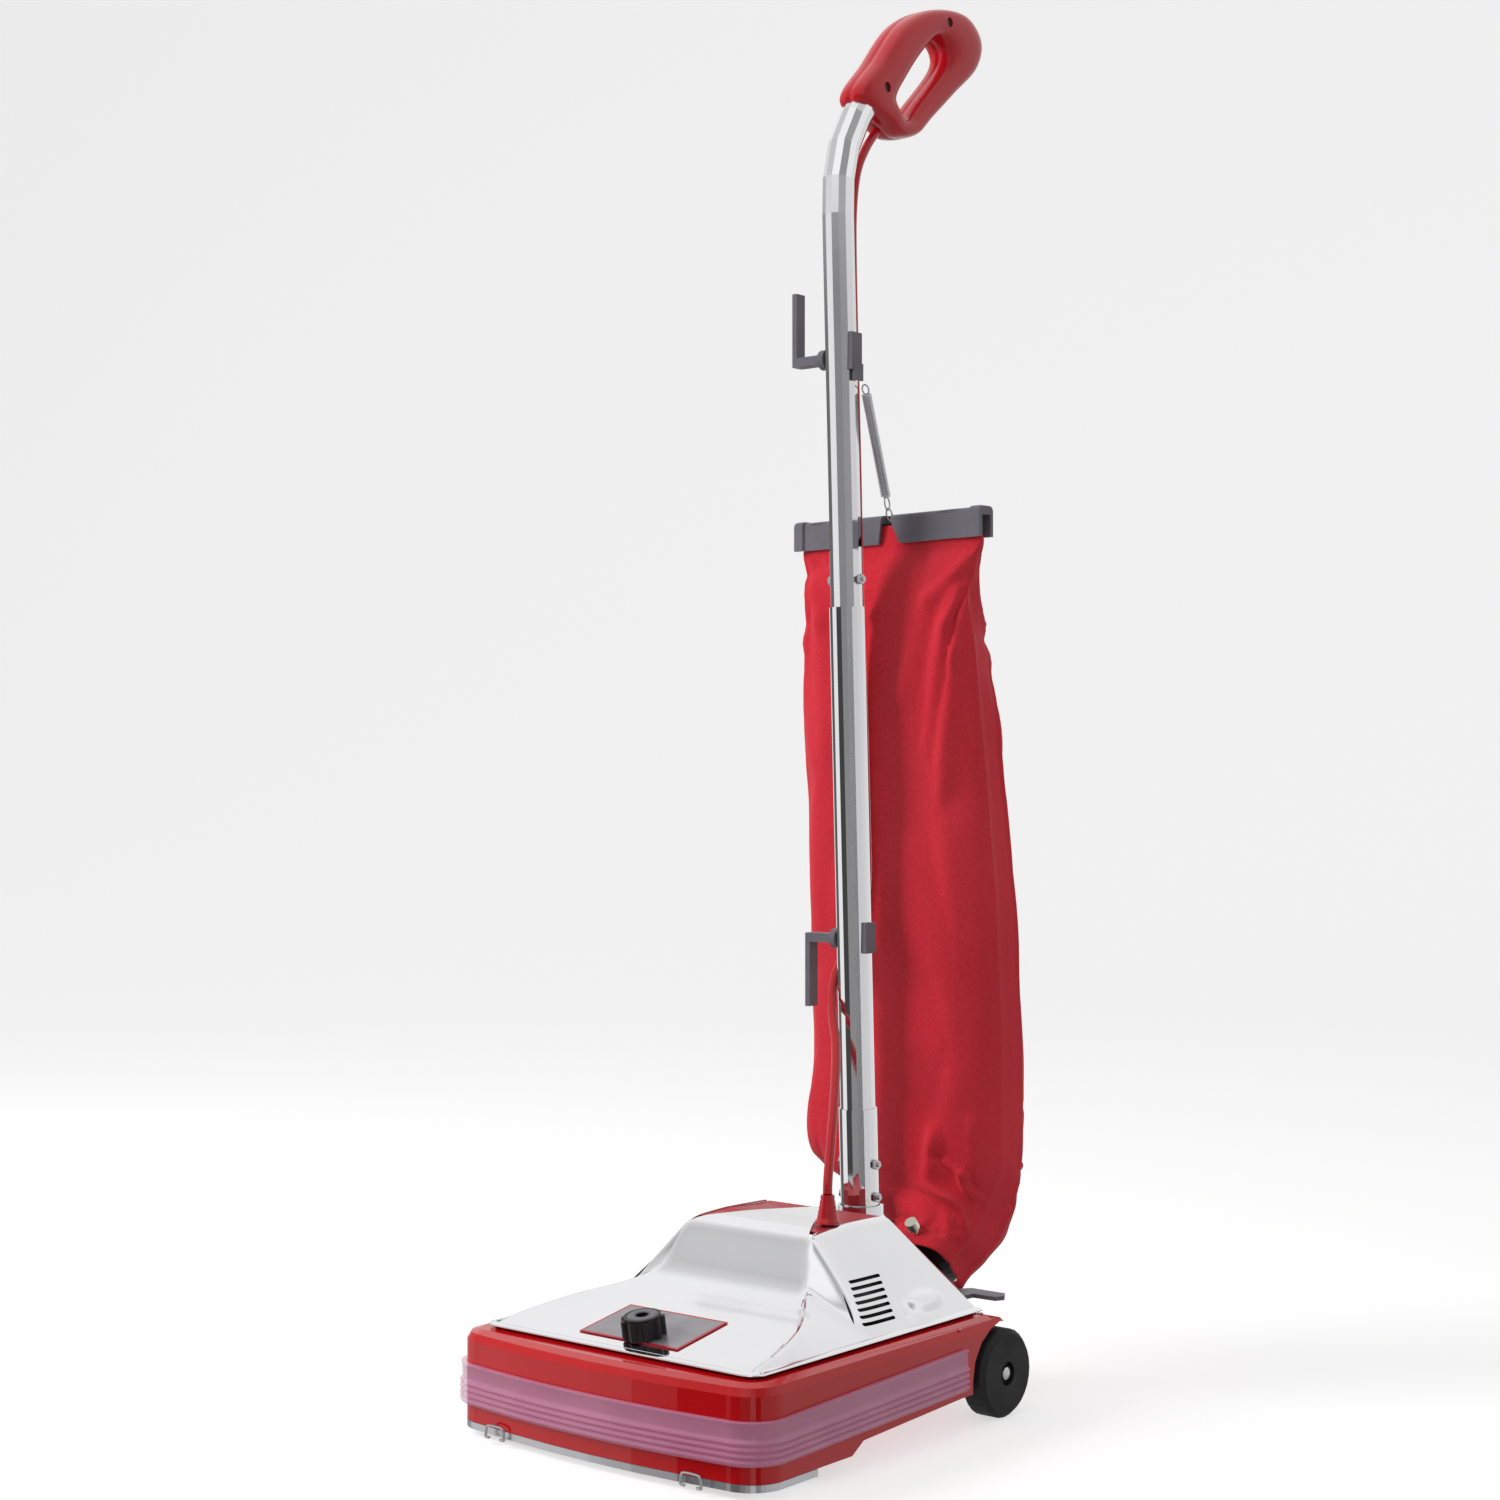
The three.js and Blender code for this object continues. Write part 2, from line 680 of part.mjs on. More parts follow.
for (const [name, solid, look] of [
  ['height_spindle', heightSpindle(), steel],
  ['height_knob', heightKnob(), blackPlastic],
]) {
  const mesh = piece(name, solid, look);
  mesh.position.set(knobPlace.x, knobPlace.y, knobFoot);
  mesh.rotation.x = panelSlope;
}

// ---------------------------------------------------------------------------------------------
// Motor, fan, belt and brush roll
// ---------------------------------------------------------------------------------------------

const onShaft = (profile, sides = 18) => turnedSolid('y', profile, [0, 0, motorAxis.z], sides);

function motorHousing() {
  const { radius, front, rear, wall } = motorSize;
  const shell = onShaft([
    [9 + gap, front],
    [radius, front],
    [radius, rear],
    [radius - wall, rear],
    [radius - wall, front + wall],
    [9 + gap, front + wall],
  ]);
  return shell;
}

function motorEndCap() {
  const { radius, rear } = motorSize;
  const disc = onShaft(ringProfile(shaftRadius + gap, radius, rear + gap, rear + 4));
  const holes = Array.from({ length: 6 }, (_, index) => {
    const angle = (index / 6) * 2 * Math.PI;
    const across = [24 * Math.cos(angle), motorAxis.z + 24 * Math.sin(angle)];
    return rodSolid('y', 5, rear - over, rear + 10, across, 8);
  });
  return cut(disc, ...holes);
}

function fanChamber() {
  const { radius, front, rear, wall, inlet } = chamber;
  const shell = onShaft([
    [inlet, front],
    [radius, front],
    [radius, rear],
    [9 + gap, rear],
    [9 + gap, rear - wall],
    [radius - wall, rear - wall],
    [radius - wall, front + wall],
    [inlet, front + wall],
  ]);
  const middle = (front + rear) / 2;
  const z = motorAxis.z + 8;
  const spout = boxSolid(radius - 12, radius + 5, middle - 15, middle + 15, z - 15, z + 15);
  const passage = boxSolid(20, radius + 20, middle - 13, middle + 13, z - 13, z + 13);
  const insideShell = onShaft([
    [0, front],
    [radius - 1, front],
    [radius - 1, rear],
    [0, rear],
  ]);
  return cut(join(shell, cut(spout, insideShell)), passage);
}

function fanWheel() {
  const hub = onShaft(ringProfile(shaftRadius + gap, 10, -150, -126));
  const plate = onShaft(ringProfile(shaftRadius + gap, 34, -130, -127));
  const bladeCount = 6;
  const bore = onShaft([[0, -160], [shaftRadius + gap, -160], [shaftRadius + gap, -110], [0, -110]]);
  const blades = Array.from({ length: bladeCount }, (_, index) => {
    const angle = (index / bladeCount) * 2 * Math.PI;
    const geometry = new THREE.BoxGeometry(26, 17, 2);
    geometry.rotateY(0.35);
    geometry.translate(20, -137.5, 0);
    geometry.rotateY(angle);
    geometry.translate(0, 0, motorAxis.z);
    return toSolid(geometry);
  });
  return cut(join(hub, plate, ...blades), bore);
}

/** The belt: over the pulley, then with a quarter turn down and under the brush roll. */
function driveBelt() {
  const top = pulleyGroove + beltRadius + gap;
  const low = agitator.groove + beltRadius + 2 * gap;
  const points = [];
  const half = 8;
  for (let step = 0; step <= half; step += 1) {
    const angle = (step / half) * Math.PI;
    points.push([top * Math.cos(angle), agitator.y, motorAxis.z + top * Math.sin(angle)]);
  }
  for (let step = 0; step <= half; step += 1) {
    const angle = Math.PI + (step / half) * Math.PI;
    points.push([0, agitator.y + low * Math.cos(angle), agitator.z + low * Math.sin(angle)]);
  }
  points.push([top * 0.98, agitator.y + 1.2, motorAxis.z - 2.6]);
  return pipeSolid(through(points), beltRadius, 34, 6);
}

function agitatorCore() {
  const { core, groove, halfLength } = agitator;
  const profile = [
    [3 + gap, -halfLength],
    [core, -halfLength],
    [core, -8],
    [groove, -6],
    [groove, 6],
    [core, 8],
    [core, halfLength],
    [3 + gap, halfLength],
  ];
  return turnedSolid('x', profile, [0, agitator.y, agitator.z], 20);
}

/** A straight row of tufts on one half of the roll, parked upwards. */
function bristleRow(from, to) {
  const { y, z, core, tip } = agitator;
  return boxSolid(from, to, y - 2, y + 2, z + core + gap, z + tip);
}

const shaftEnds = { front: -296, rear: motorSize.rear + 12 };
piece('motor_housing', motorHousing(), steel);
piece('motor_end_cap', motorEndCap(), blackPlastic);
piece('stator', onShaft(ringProfile(25, motorSize.radius - motorSize.wall - gap, -96, -54)), copper);
piece('rotor_core', onShaft(ringProfile(shaftRadius + gap, 23, -98, -52)), copper);
const motorShaft = rodSolid('y', shaftRadius, shaftEnds.front, shaftEnds.rear, [0, motorAxis.z], 16);
piece('motor_shaft', motorShaft, steel);
piece('fan_chamber', fanChamber(), redMatte);
piece('fan', fanWheel(), steel);
piece(
  'drive_pulley',
  onShaft([
    [shaftRadius + gap, -297],
    [6.8, -297],
    [pulleyGroove, -294],
    [pulleyGroove, -286],
    [6.8, -283],
    [shaftRadius + gap, -283],
  ]),
  steel,
);
piece('drive_belt', driveBelt(), rubber);
piece('brush_roll', agitatorCore(), steel);
piece('bristle_row_left', bristleRow(-agitator.halfLength, -12), bristle);
piece('bristle_row_right', bristleRow(12, agitator.halfLength), bristle);
const brushShaftReach = body.halfWidth - body.wall - 4;
const brushShaft = rodSolid('x', 3, -brushShaftReach, brushShaftReach, [agitator.y, agitator.z], 14);
piece('brush_shaft', brushShaft, steel);
for (const [name, side] of [['left', -1], ['right', 1]]) {
  const a = side * (agitator.halfLength + 3);
  const b = side * (body.halfWidth - body.wall - 2.5);
  const { y, z } = agitator;
  const block = boxSolid(Math.min(a, b), Math.max(a, b), y - 12, y + 12, z - 13, z + 14);
  piece(`brush_end_${name}`, cut(block, rodSolid('x', 3 + gap, -200, 200, [y, z], 14)), blackPlastic);
}

// ---------------------------------------------------------------------------------------------
// Exhaust duct, its collar at the rear, and the foot pedal that frees the handle
// ---------------------------------------------------------------------------------------------

const collarAxis = new THREE.Vector3(0, Math.sin(collar.lift), Math.cos(collar.lift));

function exhaustDuct() {
  const end = new THREE.Vector3(collar.x, collar.y, collar.z);
  const before = end.clone().addScaledVector(collarAxis, -16);
  const route = through([
    [chamber.radius + 10, -138, motorAxis.z + 8],
    [chamber.radius + 17, -136, motorAxis.z + 9],
    [72, -122, 84],
    [80, -88, 90],
    [80, -50, 97],
    [74, -16, 104],
    before.toArray(),
    end.toArray(),
  ]);
  return pipeSolid(route, 16, 13, 12, 14);
}

/** A ring about the axis of the exhaust, from a profile of [radius, distance along the axis]. */
function exhaustRing(name, profile, look) {
  const mesh = piece(name, turnedSolid('y', profile, [0, 0, 0], 20), look);
  mesh.position.set(collar.x, collar.y, collar.z);
  mesh.rotation.x = Math.PI / 2 - collar.lift;
  return mesh;
}

function releasePedal() {
  const paddle = raise(
    outline([
      [104, -4],
      [104, 24],
      [110, 32],
      [144, 32],
      [150, 22],
      [146, 14],
      [124, 13],
      [122, -4],
    ]),
    92.5,
    96,
  );
  const arm = boxSolid(104, 122, -24, 0, 88, 96);
  return cut(join(paddle, arm), rodSolid('x', 2.3, 90, 160, [-18, 91.5], 14));
}

function pedalBracket() {
  const plates = [101, 122.6].map((x) => boxSolid(x, x + 2.4, -26, -11, 85.3, 96));
  const bridge = boxSolid(101, 125, -32, -26, 85.3, 88);
  const pin = rodSolid('x', 2, 101, 125, [-18, 91.5], 14);
  return join(...plates, bridge, pin);
}

piece('exhaust_duct', exhaustDuct(), redMatte);
exhaustRing(
  'exhaust_collar',
  [
    [17.2, -6],
    [20, -6],
    [collar.radius - 3, 0],
    [collar.radius - 3, 12],
    [18, 12],
    [18, 1],
    [17.2, 1],
  ],
  blackPlastic,
);
piece('release_pedal', releasePedal(), greyPlastic);
piece('pedal_bracket', pedalBracket(), steel);

// ---------------------------------------------------------------------------------------------
// Handle: pivot, socket, three telescoped tubes and their bolts
// ---------------------------------------------------------------------------------------------

/** The middle of the tube at a height, on its straight part. */
const tubeY = (z) => 23.3 - z * Math.tan(tilt);

function straightPipe(radius, inner, low, high, sides = 20) {
  const line = new THREE.LineCurve3(
    new THREE.Vector3(0, tubeY(low), low),
    new THREE.Vector3(0, tubeY(high), high),
  );
  return pipeSolid(line, radius, 1, sides, inner);
}

function pivotBracket() {
  const ears = [-1, 1].map((side) => {
    const x = side * 28.5;
    const ear = sweepX(
      outline([
        [-18, 85.3],
        [6, 85.3],
        [32, 92],
        [32, 112],
        [8, 112],
        [-18, 95],
      ]),
      x - 1.5,
      x + 1.5,
    );
    return ear;
  });
  const foot = boxSolid(-30, 30, -18, -3, 85.3, 88);
  const pinHole = rodSolid('x', pivot.radius + gap, -60, 60, [pivot.y, pivot.z]);
  return cut(join(foot, ...ears), pinHole);
}

/** The foot of the handle: a block on the pivot that rises into a round socket around the sleeve. */
function handleSocket() {
  const block = sweepX(
    outline([
      [pivot.y - 13, pivot.z - 8],
      [pivot.y - 8, pivot.z - 13],
      [pivot.y + 8, pivot.z - 13],
      [pivot.y + 13, pivot.z - 8],
      [tubeY(140) + 20, 134],
      [tubeY(142) + 20, 142],
      [tubeY(142) - 20, 142],
      [tubeY(140) - 20, 134],
    ]),
    -22,
    22,
  );
  const cup = rodSolid('z', 20.5, 136, 158, [0, tubeY(147)], 28);
  const bore = rodSolid('z', sleeve.radius + 0.9, sleeve.bottom - 1, 160, [0, tubeY(153)], 28);
  const pinHole = rodSolid('x', pivot.radius + gap, -60, 60, [pivot.y, pivot.z]);
  const tubeRoom = rodSolid('z', 13, 120, 150, [0, tubeY(140)], 20);
  return cut(join(block, cup), bore, pinHole, tubeRoom);
}

const boltHeights = { socket: 166, sleeve: 195, top: 712 };

function boltHoles() {
  return Object.values(boltHeights).map((z) =>
    rodSolid('x', boltRadius + gap, -40, 40, [tubeY(z), z], 12),
  );
}

/** The curve of the upper tube: straight, then a bend that carries it back into the grip. */
function topTubeCurve() {
  const { bottom, bendStart } = topTube;
  const start = new THREE.Vector3(0, tubeY(bottom), bottom);
  const bend = new THREE.Vector3(0, tubeY(bendStart - 16), bendStart - 16);
  const along = new THREE.Vector3(0, -Math.sin(tilt), Math.cos(tilt));
  const exit = new THREE.Vector3(0, 24.7, 1142.7);
  const exitDirection = new THREE.Vector3(0, 0.62, 0.785).normalize();
  const path = new THREE.CurvePath();
  path.add(new THREE.LineCurve3(start, bend));
  const control1 = bend.clone().addScaledVector(along, 52);
  const control2 = exit.clone().addScaledVector(exitDirection, -36);
  path.add(new THREE.CubicBezierCurve3(bend, control1, control2, exit));
  path.add(new THREE.LineCurve3(exit, exit.clone().addScaledVector(exitDirection, 40)));
  return path;
}

/** A curve of a fixed set of points that keeps the straight stretches of the path straight. */
function topTubePoints() {
  const path = topTubeCurve();
  const [straight, bend, end] = path.curves;
  const points = [straight.getPoint(0), straight.getPoint(0.5), ...bend.getPoints(10), end.getPoint(1)];
  return new THREE.CatmullRomCurve3(points, false, 'centripetal');
}

function topTubeSolid() {
  const route = topTubePoints();
  return pipeSolid(route, topTube.radius, 18, 14, topTube.inner);
}

const holes = boltHoles();
piece('pivot_bracket', pivotBracket(), steel);
piece('pivot_pin', rodSolid('x', pivot.radius, -33, 33, [pivot.y, pivot.z]), steel);
piece('handle_socket', handleSocket(), chrome);
for (const [name, size] of [['lower_sleeve', sleeve], ['middle_tube', midTube]]) {
  piece(name, cut(straightPipe(size.radius, size.inner, size.bottom, size.top), ...holes), chrome);
}
const gripScrewHole = rodSolid('x', 2.3, -40, 40, gripScrews.grip_screw_rear, 12);
piece('top_tube', cut(topTubeSolid(), gripScrewHole, ...holes), chrome);

for (const [name, z] of Object.entries(boltHeights)) {
  const reach = z > midTube.top ? topTube.radius : sleeve.radius;
  const y = tubeY(z);
  const shank = rodSolid('x', boltRadius, -reach - 1, reach + 6, [y, z], 12);
  const head = rodSolid('x', 4, -reach - 3.6, -reach - gap, [y, z], 12);
  const nut = rodSolid('x', 4.4, reach + gap, reach + 4, [y, z], 6);
  piece(`tube_bolt_${name}`, join(shank, head, nut), steel);
}

// ---------------------------------------------------------------------------------------------
// Cord hooks, with their saddles on the other side of the tube
// ---------------------------------------------------------------------------------------------

const hookReach = 48;

/** An L-shaped hook about its own pivot, with its prong towards +Z or -Z. */
function cordHook(rootX, prongSide) {
  const disc = rodSolid('x', 9, rootX - 6, rootX, [0, 0], 20);
  const arm = boxSolid(-hookReach, rootX - 2, -7, 7, -4, 4);
  const low = prongSide > 0 ? -4 : -62;
  const prong = boxSolid(-hookReach - 2.5, -hookReach + 2.5, -6, 6, low, low + 66);
  return join(disc, arm, prong);
}

function saddle(z, low, high, radius, bracket) {
  const y = tubeY(z);
  const block = boxSolid(8, radius + 3, y - 7.5, y + 7.5, low, high);
  const tube = rodSolid('z', radius + 1, low - 30, high + 30, [0, y], 28);
  const solid = cut(block, tube);
  if (!bracket) return solid;
  const tongue = boxSolid(radius + 1, radius + 3.4, y - 4, y + 9, low - 9, low + 6);
  return join(solid, tongue);
}

const upperHookZ = 908;
const lowerHookZ = 394;
const upperHook = piece('cord_hook_upper', cordHook(-topTube.radius - gap, 1), greyPlastic);
upperHook.position.set(0, tubeY(upperHookZ), upperHookZ);
const lowerHook = piece('cord_hook_lower', cordHook(-midTube.radius - gap, -1), greyPlastic);
lowerHook.position.set(0, tubeY(lowerHookZ), lowerHookZ);
piece('hook_saddle_upper', saddle(upperHookZ, 896, 929, topTube.radius, true), greyPlastic);
piece('hook_saddle_lower', saddle(lowerHookZ, 382, 409, midTube.radius, false), greyPlastic);

// ---------------------------------------------------------------------------------------------
// Cloth bag: clip, spring and neck clamp
// ---------------------------------------------------------------------------------------------

const bagTurn = THREE.MathUtils.degToRad(-4);

/** One ring of the bag: a rounded oblong about a centre, tipped about X by tip. */
function bagRing({ x, y, z, half, depth, tip = 0, turn = bagTurn }) {
  const count = 16;
  const squareness = 0.72;
  const power = (value) => Math.sign(value) * Math.abs(value) ** squareness;
  const twist = new THREE.Euler(-tip, 0, turn, 'ZYX');
  return Array.from({ length: count }, (_, index) => {
    const angle = (index / count) * 2 * Math.PI;
    const flat = new THREE.Vector3(half * power(Math.cos(angle)), depth * power(Math.sin(angle)), 0);
    return flat.applyEuler(twist).add(new THREE.Vector3(x, y, z));
  });
}

const neck = new THREE.Vector3(collar.x, collar.y, collar.z).addScaledVector(collarAxis, 12.6);
const bagRings = [
  { x: neck.x, y: neck.y, z: neck.z, half: 27, depth: 27, tip: collar.lift, turn: 0 },
  { x: 62, y: 51, z: 132, half: 38, depth: 34, tip: 0.72, turn: 0 },
  { x: 44, y: 72, z: 146, half: 62, depth: 42, tip: 0.5, turn: -0.03 },
  { x: 18, y: 86, z: 172, half: 98, depth: 42, tip: 0.15 },
  { x: 11, y: 90, z: 205, half: 110, depth: 43 },
  { x: 10, y: 89, z: 285, half: 113, depth: 43 },
  { x: 11, y: 82, z: 380, half: 113, depth: 39 },
  { x: 10, y: 72, z: 500, half: 111, depth: 32 },
  { x: 9, y: 62, z: 600, half: 111, depth: 24 },
  { x: 8, y: 57, z: 690, half: 107, depth: 17 },
  { x: 9, y: 52, z: 742, half: 101, depth: 6 },
  { x: 9, y: 52, z: 764, half: 98, depth: 3 },
];

/** An inverted channel that grips the folded top of the bag, in its own frame. */
function bagClip() {
  const half = 105;
  const channel = sweepX(
    outline([
      [-8, 0],
      [-6.6, 25],
      [6.6, 25],
      [8, 0],
      [6.6, 0],
      [4, 20],
      [-4, 20],
      [-6.6, 0],
    ]),
    -half,
    half,
  );
  const notch = sweepY(
    outline([
      [-8, 26],
      [-3, 16],
      [3, 16],
      [8, 26],
    ]),
    -20,
    20,
  );
  return cut(channel, notch);
}

/** The close-wound spring as a plain rod, with its two end loops. */
function bagSpring() {
  const top = new THREE.Vector3(17.2, tubeY(885) + 11, 883);
  const foot = new THREE.Vector3(9, 52, 768.5);
  const at = (share) => top.clone().lerp(foot, share);
  const coil = pipeSolid(new THREE.LineCurve3(at(0.06), at(0.82)), 4.4, 1, 12);
  const ends = pipeSolid(new THREE.LineCurve3(top, foot), 1.1, 1, 8);
  return join(coil, ends);
}

function neckClamp() {
  const inner = collar.radius - 3 + gap;
  const band = turnedSolid('y', ringProfile(inner, inner + 2, 3, 10), [0, 0, 0], 20);
  const stud = rodSolid('z', 2.5, inner + 1, inner + 9, [0, 6.5], 12);
  const nut = rodSolid('z', 5.5, inner + 8, inner + 16, [0, 6.5], 14);
  return join(band, stud, nut);
}

/** The bag as a hollow cloth skin that is open at its neck. */
function dustBag() {
  const cloth = 1.2;
  const inner = bagRings.map((ring, index) => ({
    ...ring,
    half: ring.half - (index === 0 ? 5 : cloth),
    depth: ring.depth - (index === 0 ? 5 : cloth),
  }));
  const past = inner[0];
  const mouth = { ...past, y: past.y - collarAxis.y, z: past.z - collarAxis.z };
  return cut(loft(bagRings.map(bagRing)), loft([mouth, ...inner.slice(0, -1)].map(bagRing)));
}

piece('dust_bag', dustBag(), fabric);
const clip = piece('bag_clip', bagClip(), greyPlastic);
clip.position.set(9, 52, 747);
clip.rotation.z = bagTurn;
piece('bag_spring', bagSpring(), steel);
const clamp = piece('neck_clamp', neckClamp(), brass);
clamp.position.set(collar.x, collar.y, collar.z);
clamp.rotation.x = Math.PI / 2 - collar.lift;

// ---------------------------------------------------------------------------------------------
// Grip: two halves around the end of the tube, two screws and a rocker switch
// ---------------------------------------------------------------------------------------------

const gripOuter = [
  [3, 1142],
  [36, 1183],
  [73, 1224],
  [117, 1247],
  [169, 1254],
  [197, 1236],
  [190, 1208],
  [154, 1177],
  [116, 1145],
  [92, 1125],
  [64, 1118],
  [44, 1124],
];
const gripLoop = [
  [58, 1150],
  [75, 1176],
  [100, 1204],
  [121, 1221],
  [139, 1215],
  [136, 1198],
  [100, 1161],
  [72, 1136],
];
const rocker = { y: 67, z: 1193, long: 22, wide: 11, turn: Math.atan2(41, 37) };

/** A smooth closed outline through points. */
function smoothOutline(points, perPoint = 3) {
  const closed = points.map(([u, v]) => new THREE.Vector3(u, v, 0));
  const curve = new THREE.CatmullRomCurve3(closed, true, 'centripetal');
  const steps = points.length * perPoint;
  return Array.from({ length: steps }, (_, index) => {
    const point = curve.getPoint(index / steps);
    return new THREE.Vector2(point.x, point.y);
  });
}

/** The whole grip before it is split. Its hole runs the other way round from its outline. */
function gripBlock() {
  const outer = new THREE.Shape(smoothOutline(gripOuter));
  outer.holes.push(new THREE.Path(smoothOutline(gripLoop).reverse()));
  return sweepX(outer, -gripHalfThick, gripHalfThick);
}

/** A box about the rocker's place on the left face, with its long side along the grip. */
function rockerBox(long, wide, x0, x1) {
  const geometry = new THREE.BoxGeometry(x1 - x0, long, wide);
  geometry.translate((x0 + x1) / 2, 0, 0);
  geometry.rotateX(rocker.turn);
  geometry.translate(0, rocker.y, rocker.z);
  return toSolid(geometry);
}

function gripHalf(side) {
  const path = topTubeCurve();
  const [, bend, end] = path.curves;
  const boreRadius = topTube.radius + 0.8;
  const bore = pipeSolid(new THREE.LineCurve3(bend.getPoint(0.8), end.getPoint(1)), boreRadius, 1, 20);
  const overshoot = end.getPoint(1).add(end.getTangent(1).multiplyScalar(1));
  const boreEnd = pipeSolid(new THREE.LineCurve3(end.getPoint(0), overshoot), boreRadius, 1, 20);
  const [x0, x1] = side > 0 ? [gap / 2, far] : [-far, -gap / 2];
  const keep = boxSolid(x0, x1, -far, 2 * far, topTube.bendStart - far, topTube.bendStart + 2 * far);
  const screws = Object.values(gripScrews);
  const screwHoles = screws.map((across) => rodSolid('x', 2.3, -far, far, across, 12));
  const sinks = screws.map((across) => rodSolid('x', 4.5, gripHalfThick - 5, far, across, 14));
  const pocket = rockerBox(rocker.long + 2, rocker.wide + 2, -far, -gripHalfThick + 8);
  return cut(gripBlock().intersect(keep), bore, boreEnd, pocket, ...screwHoles, ...sinks);
}

piece('grip_left', gripHalf(-1), redGloss);
piece('grip_right', gripHalf(1), redGloss);
for (const [name, across] of Object.entries(gripScrews)) {
  const shank = rodSolid('x', 2, -12, gripHalfThick - 4, across, 12);
  const head = rodSolid('x', 4, gripHalfThick - 4.7, gripHalfThick - 2, across, 14);
  piece(name, join(shank, head), blackPlastic);
}
const rockerSolid = rockerBox(rocker.long, rocker.wide, -gripHalfThick - 1.5, -gripHalfThick + 5);
piece('switch_rocker', rockerSolid, blackPlastic);

// ---------------------------------------------------------------------------------------------
// Lead from the motor to the switch, held behind the tube, and its boot on the cover
// ---------------------------------------------------------------------------------------------

const bootFoot = 164.3;
const bootTop = 188;
const leadPoints = [
  [bootPlace.x, bootPlace.y, bootTop + gap],
  [54, -99, 202],
  [44, -81, 236],
  [27, -54, 272],
  [8, -28, 305],
  [-9, -11, 330],
  [-19, 4, 354],
  [-19, 19, 378],
  [-12, 29, 404],
  [-3, 32, 440],
  [0, 27.5, 500],
  [0, 23, 600],
  [0, 17.5, 700],
  [0, 14.4, 800],
  [0, 10.6, 900],
  [0, 7.5, 990],
  [0, 7.6, 1040],
  [0, 13.5, 1076],
  [0, 27, 1101],
  [0, 42, 1114],
];

function cordBoot() {
  const profile = [
    [cordRadius + gap, bootFoot],
    [7.2, bootFoot],
    [6.8, bootFoot + 6],
    [5.6, bootTop - 3],
    [6.4, bootTop - 3],
    [6.4, bootTop],
    [cordRadius + gap, bootTop],
  ];
  return turnedSolid('z', profile, [bootPlace.x, bootPlace.y, 0], 18);
}

piece('cord_boot', cordBoot(), redCable);
piece('lead_cord', pipeSolid(through(leadPoints), cordRadius, 52, 8), redCable);

const axleFromMiddle = 71; // how far the rear axle is behind the middle of the whole length
machine.position.y = axleFromMiddle;

export default machine;
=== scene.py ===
"""Looks of an upright vacuum cleaner with a cloth bag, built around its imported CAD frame."""
import math

import bmesh
import bpy
import numpy as np
from mathutils import Matrix, Vector, noise


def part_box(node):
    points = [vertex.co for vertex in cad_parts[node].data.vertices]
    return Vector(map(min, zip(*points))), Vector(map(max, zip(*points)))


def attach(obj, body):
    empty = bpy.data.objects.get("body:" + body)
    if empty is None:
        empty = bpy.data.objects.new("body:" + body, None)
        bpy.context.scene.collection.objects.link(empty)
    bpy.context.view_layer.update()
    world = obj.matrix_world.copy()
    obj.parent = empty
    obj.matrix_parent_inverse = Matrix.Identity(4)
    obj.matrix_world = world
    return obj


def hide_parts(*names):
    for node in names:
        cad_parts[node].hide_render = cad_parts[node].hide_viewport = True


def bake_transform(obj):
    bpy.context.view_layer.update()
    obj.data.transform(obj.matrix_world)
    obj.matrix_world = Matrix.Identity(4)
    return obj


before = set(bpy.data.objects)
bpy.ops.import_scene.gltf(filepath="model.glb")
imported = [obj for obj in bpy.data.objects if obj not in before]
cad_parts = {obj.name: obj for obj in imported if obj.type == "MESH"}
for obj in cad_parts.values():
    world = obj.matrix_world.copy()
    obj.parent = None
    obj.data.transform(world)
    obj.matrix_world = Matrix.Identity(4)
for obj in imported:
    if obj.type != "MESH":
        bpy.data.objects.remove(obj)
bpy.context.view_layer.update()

# ---------- Dimensions, in millimetres. Y counts from the rear axle, and the front is -Y. ----------
MM = 0.001
AXLE_Y = sum(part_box("rear_axle")[side].y for side in (0, 1)) / 2

BODY = dict(half=162, front=-334, rear=6, corner=30, bow=9, top=85)
BUMPER = dict(gap=0.3, thick=5.7, front_low=26, rear_low=33, front_top=59, rear_top=67, rear=-56)
HOOD = dict(half=140, foot=87.5, front=-302, rear=-4, lean=0.415, sheet=1.2, crease=7)
HOOD_LINE = [  # y, height of the top
    (-302, 90), (-280, 93.9), (-250, 99.1), (-220, 104.4), (-200, 107.9), (-182, 112.2), (-167, 118),
    (-157, 127), (-150, 140), (-146, 151), (-139, 159.5), (-125, 162.5), (-90, 164), (-40, 163), (8, 160),
]
HOOD_EDGE = [  # y, half width at the crease
    (-302, 130), (-290, 132.5), (-269, 133), (-245, 127), (-219, 117), (-194, 101), (-172, 85),
    (-157, 73), (-146, 67), (8, 67),
]
BLISTER = dict(y=-62, z=102, long=21, tall=6.5, out=4.5)
HOLLOW = dict(y=-88, z=101, long=7, tall=6, out=-2.0)
NOTCH = dict(half=64, root=-138, tip=-26, blunt=2.1)
RIM_Z = 88.4
RIM_LEFT = [(-141, HOOD["rear"]), (-141, -200), (-141, -296), (-136, -301.5), (-130, -303), (0, -303)]
RIM_SECTION = [  # outward, up
    (-1.5, 1.4), (0.5, 1.2), (2.6, 0.4), (3.8, 0.1), (4.2, -0.6), (3.6, -1.4), (-1.5, -1.4),
]
RIM_GAP_SHADE = [  # x, y around the dark strip under the rim, a black block that paints the shade in the gap between the hood and the base
    (-140, -10), (-140, -296), (-134, -302.5), (134, -302.5), (140, -296), (140, -10), (134, -10),
    (134, -294), (-134, -294), (-134, -10),
]
# painted shade: a black plate just behind the vent slots makes them read dark
SLOT_SHADE = dict(above=5, margin=6, behind=1.4, thick=0.8)
KNOB_HOLE = 5.5
VENT = dict(count=7, pitch=4.7, height=2.3, length=40, step=-2.6, top=126, front=-133)
TUBE_TILT = math.radians(2.05)


def tube_y(z):
    """Where the middle of the handle's tubes is at height z."""
    return 23.3 - z * math.tan(TUBE_TILT)


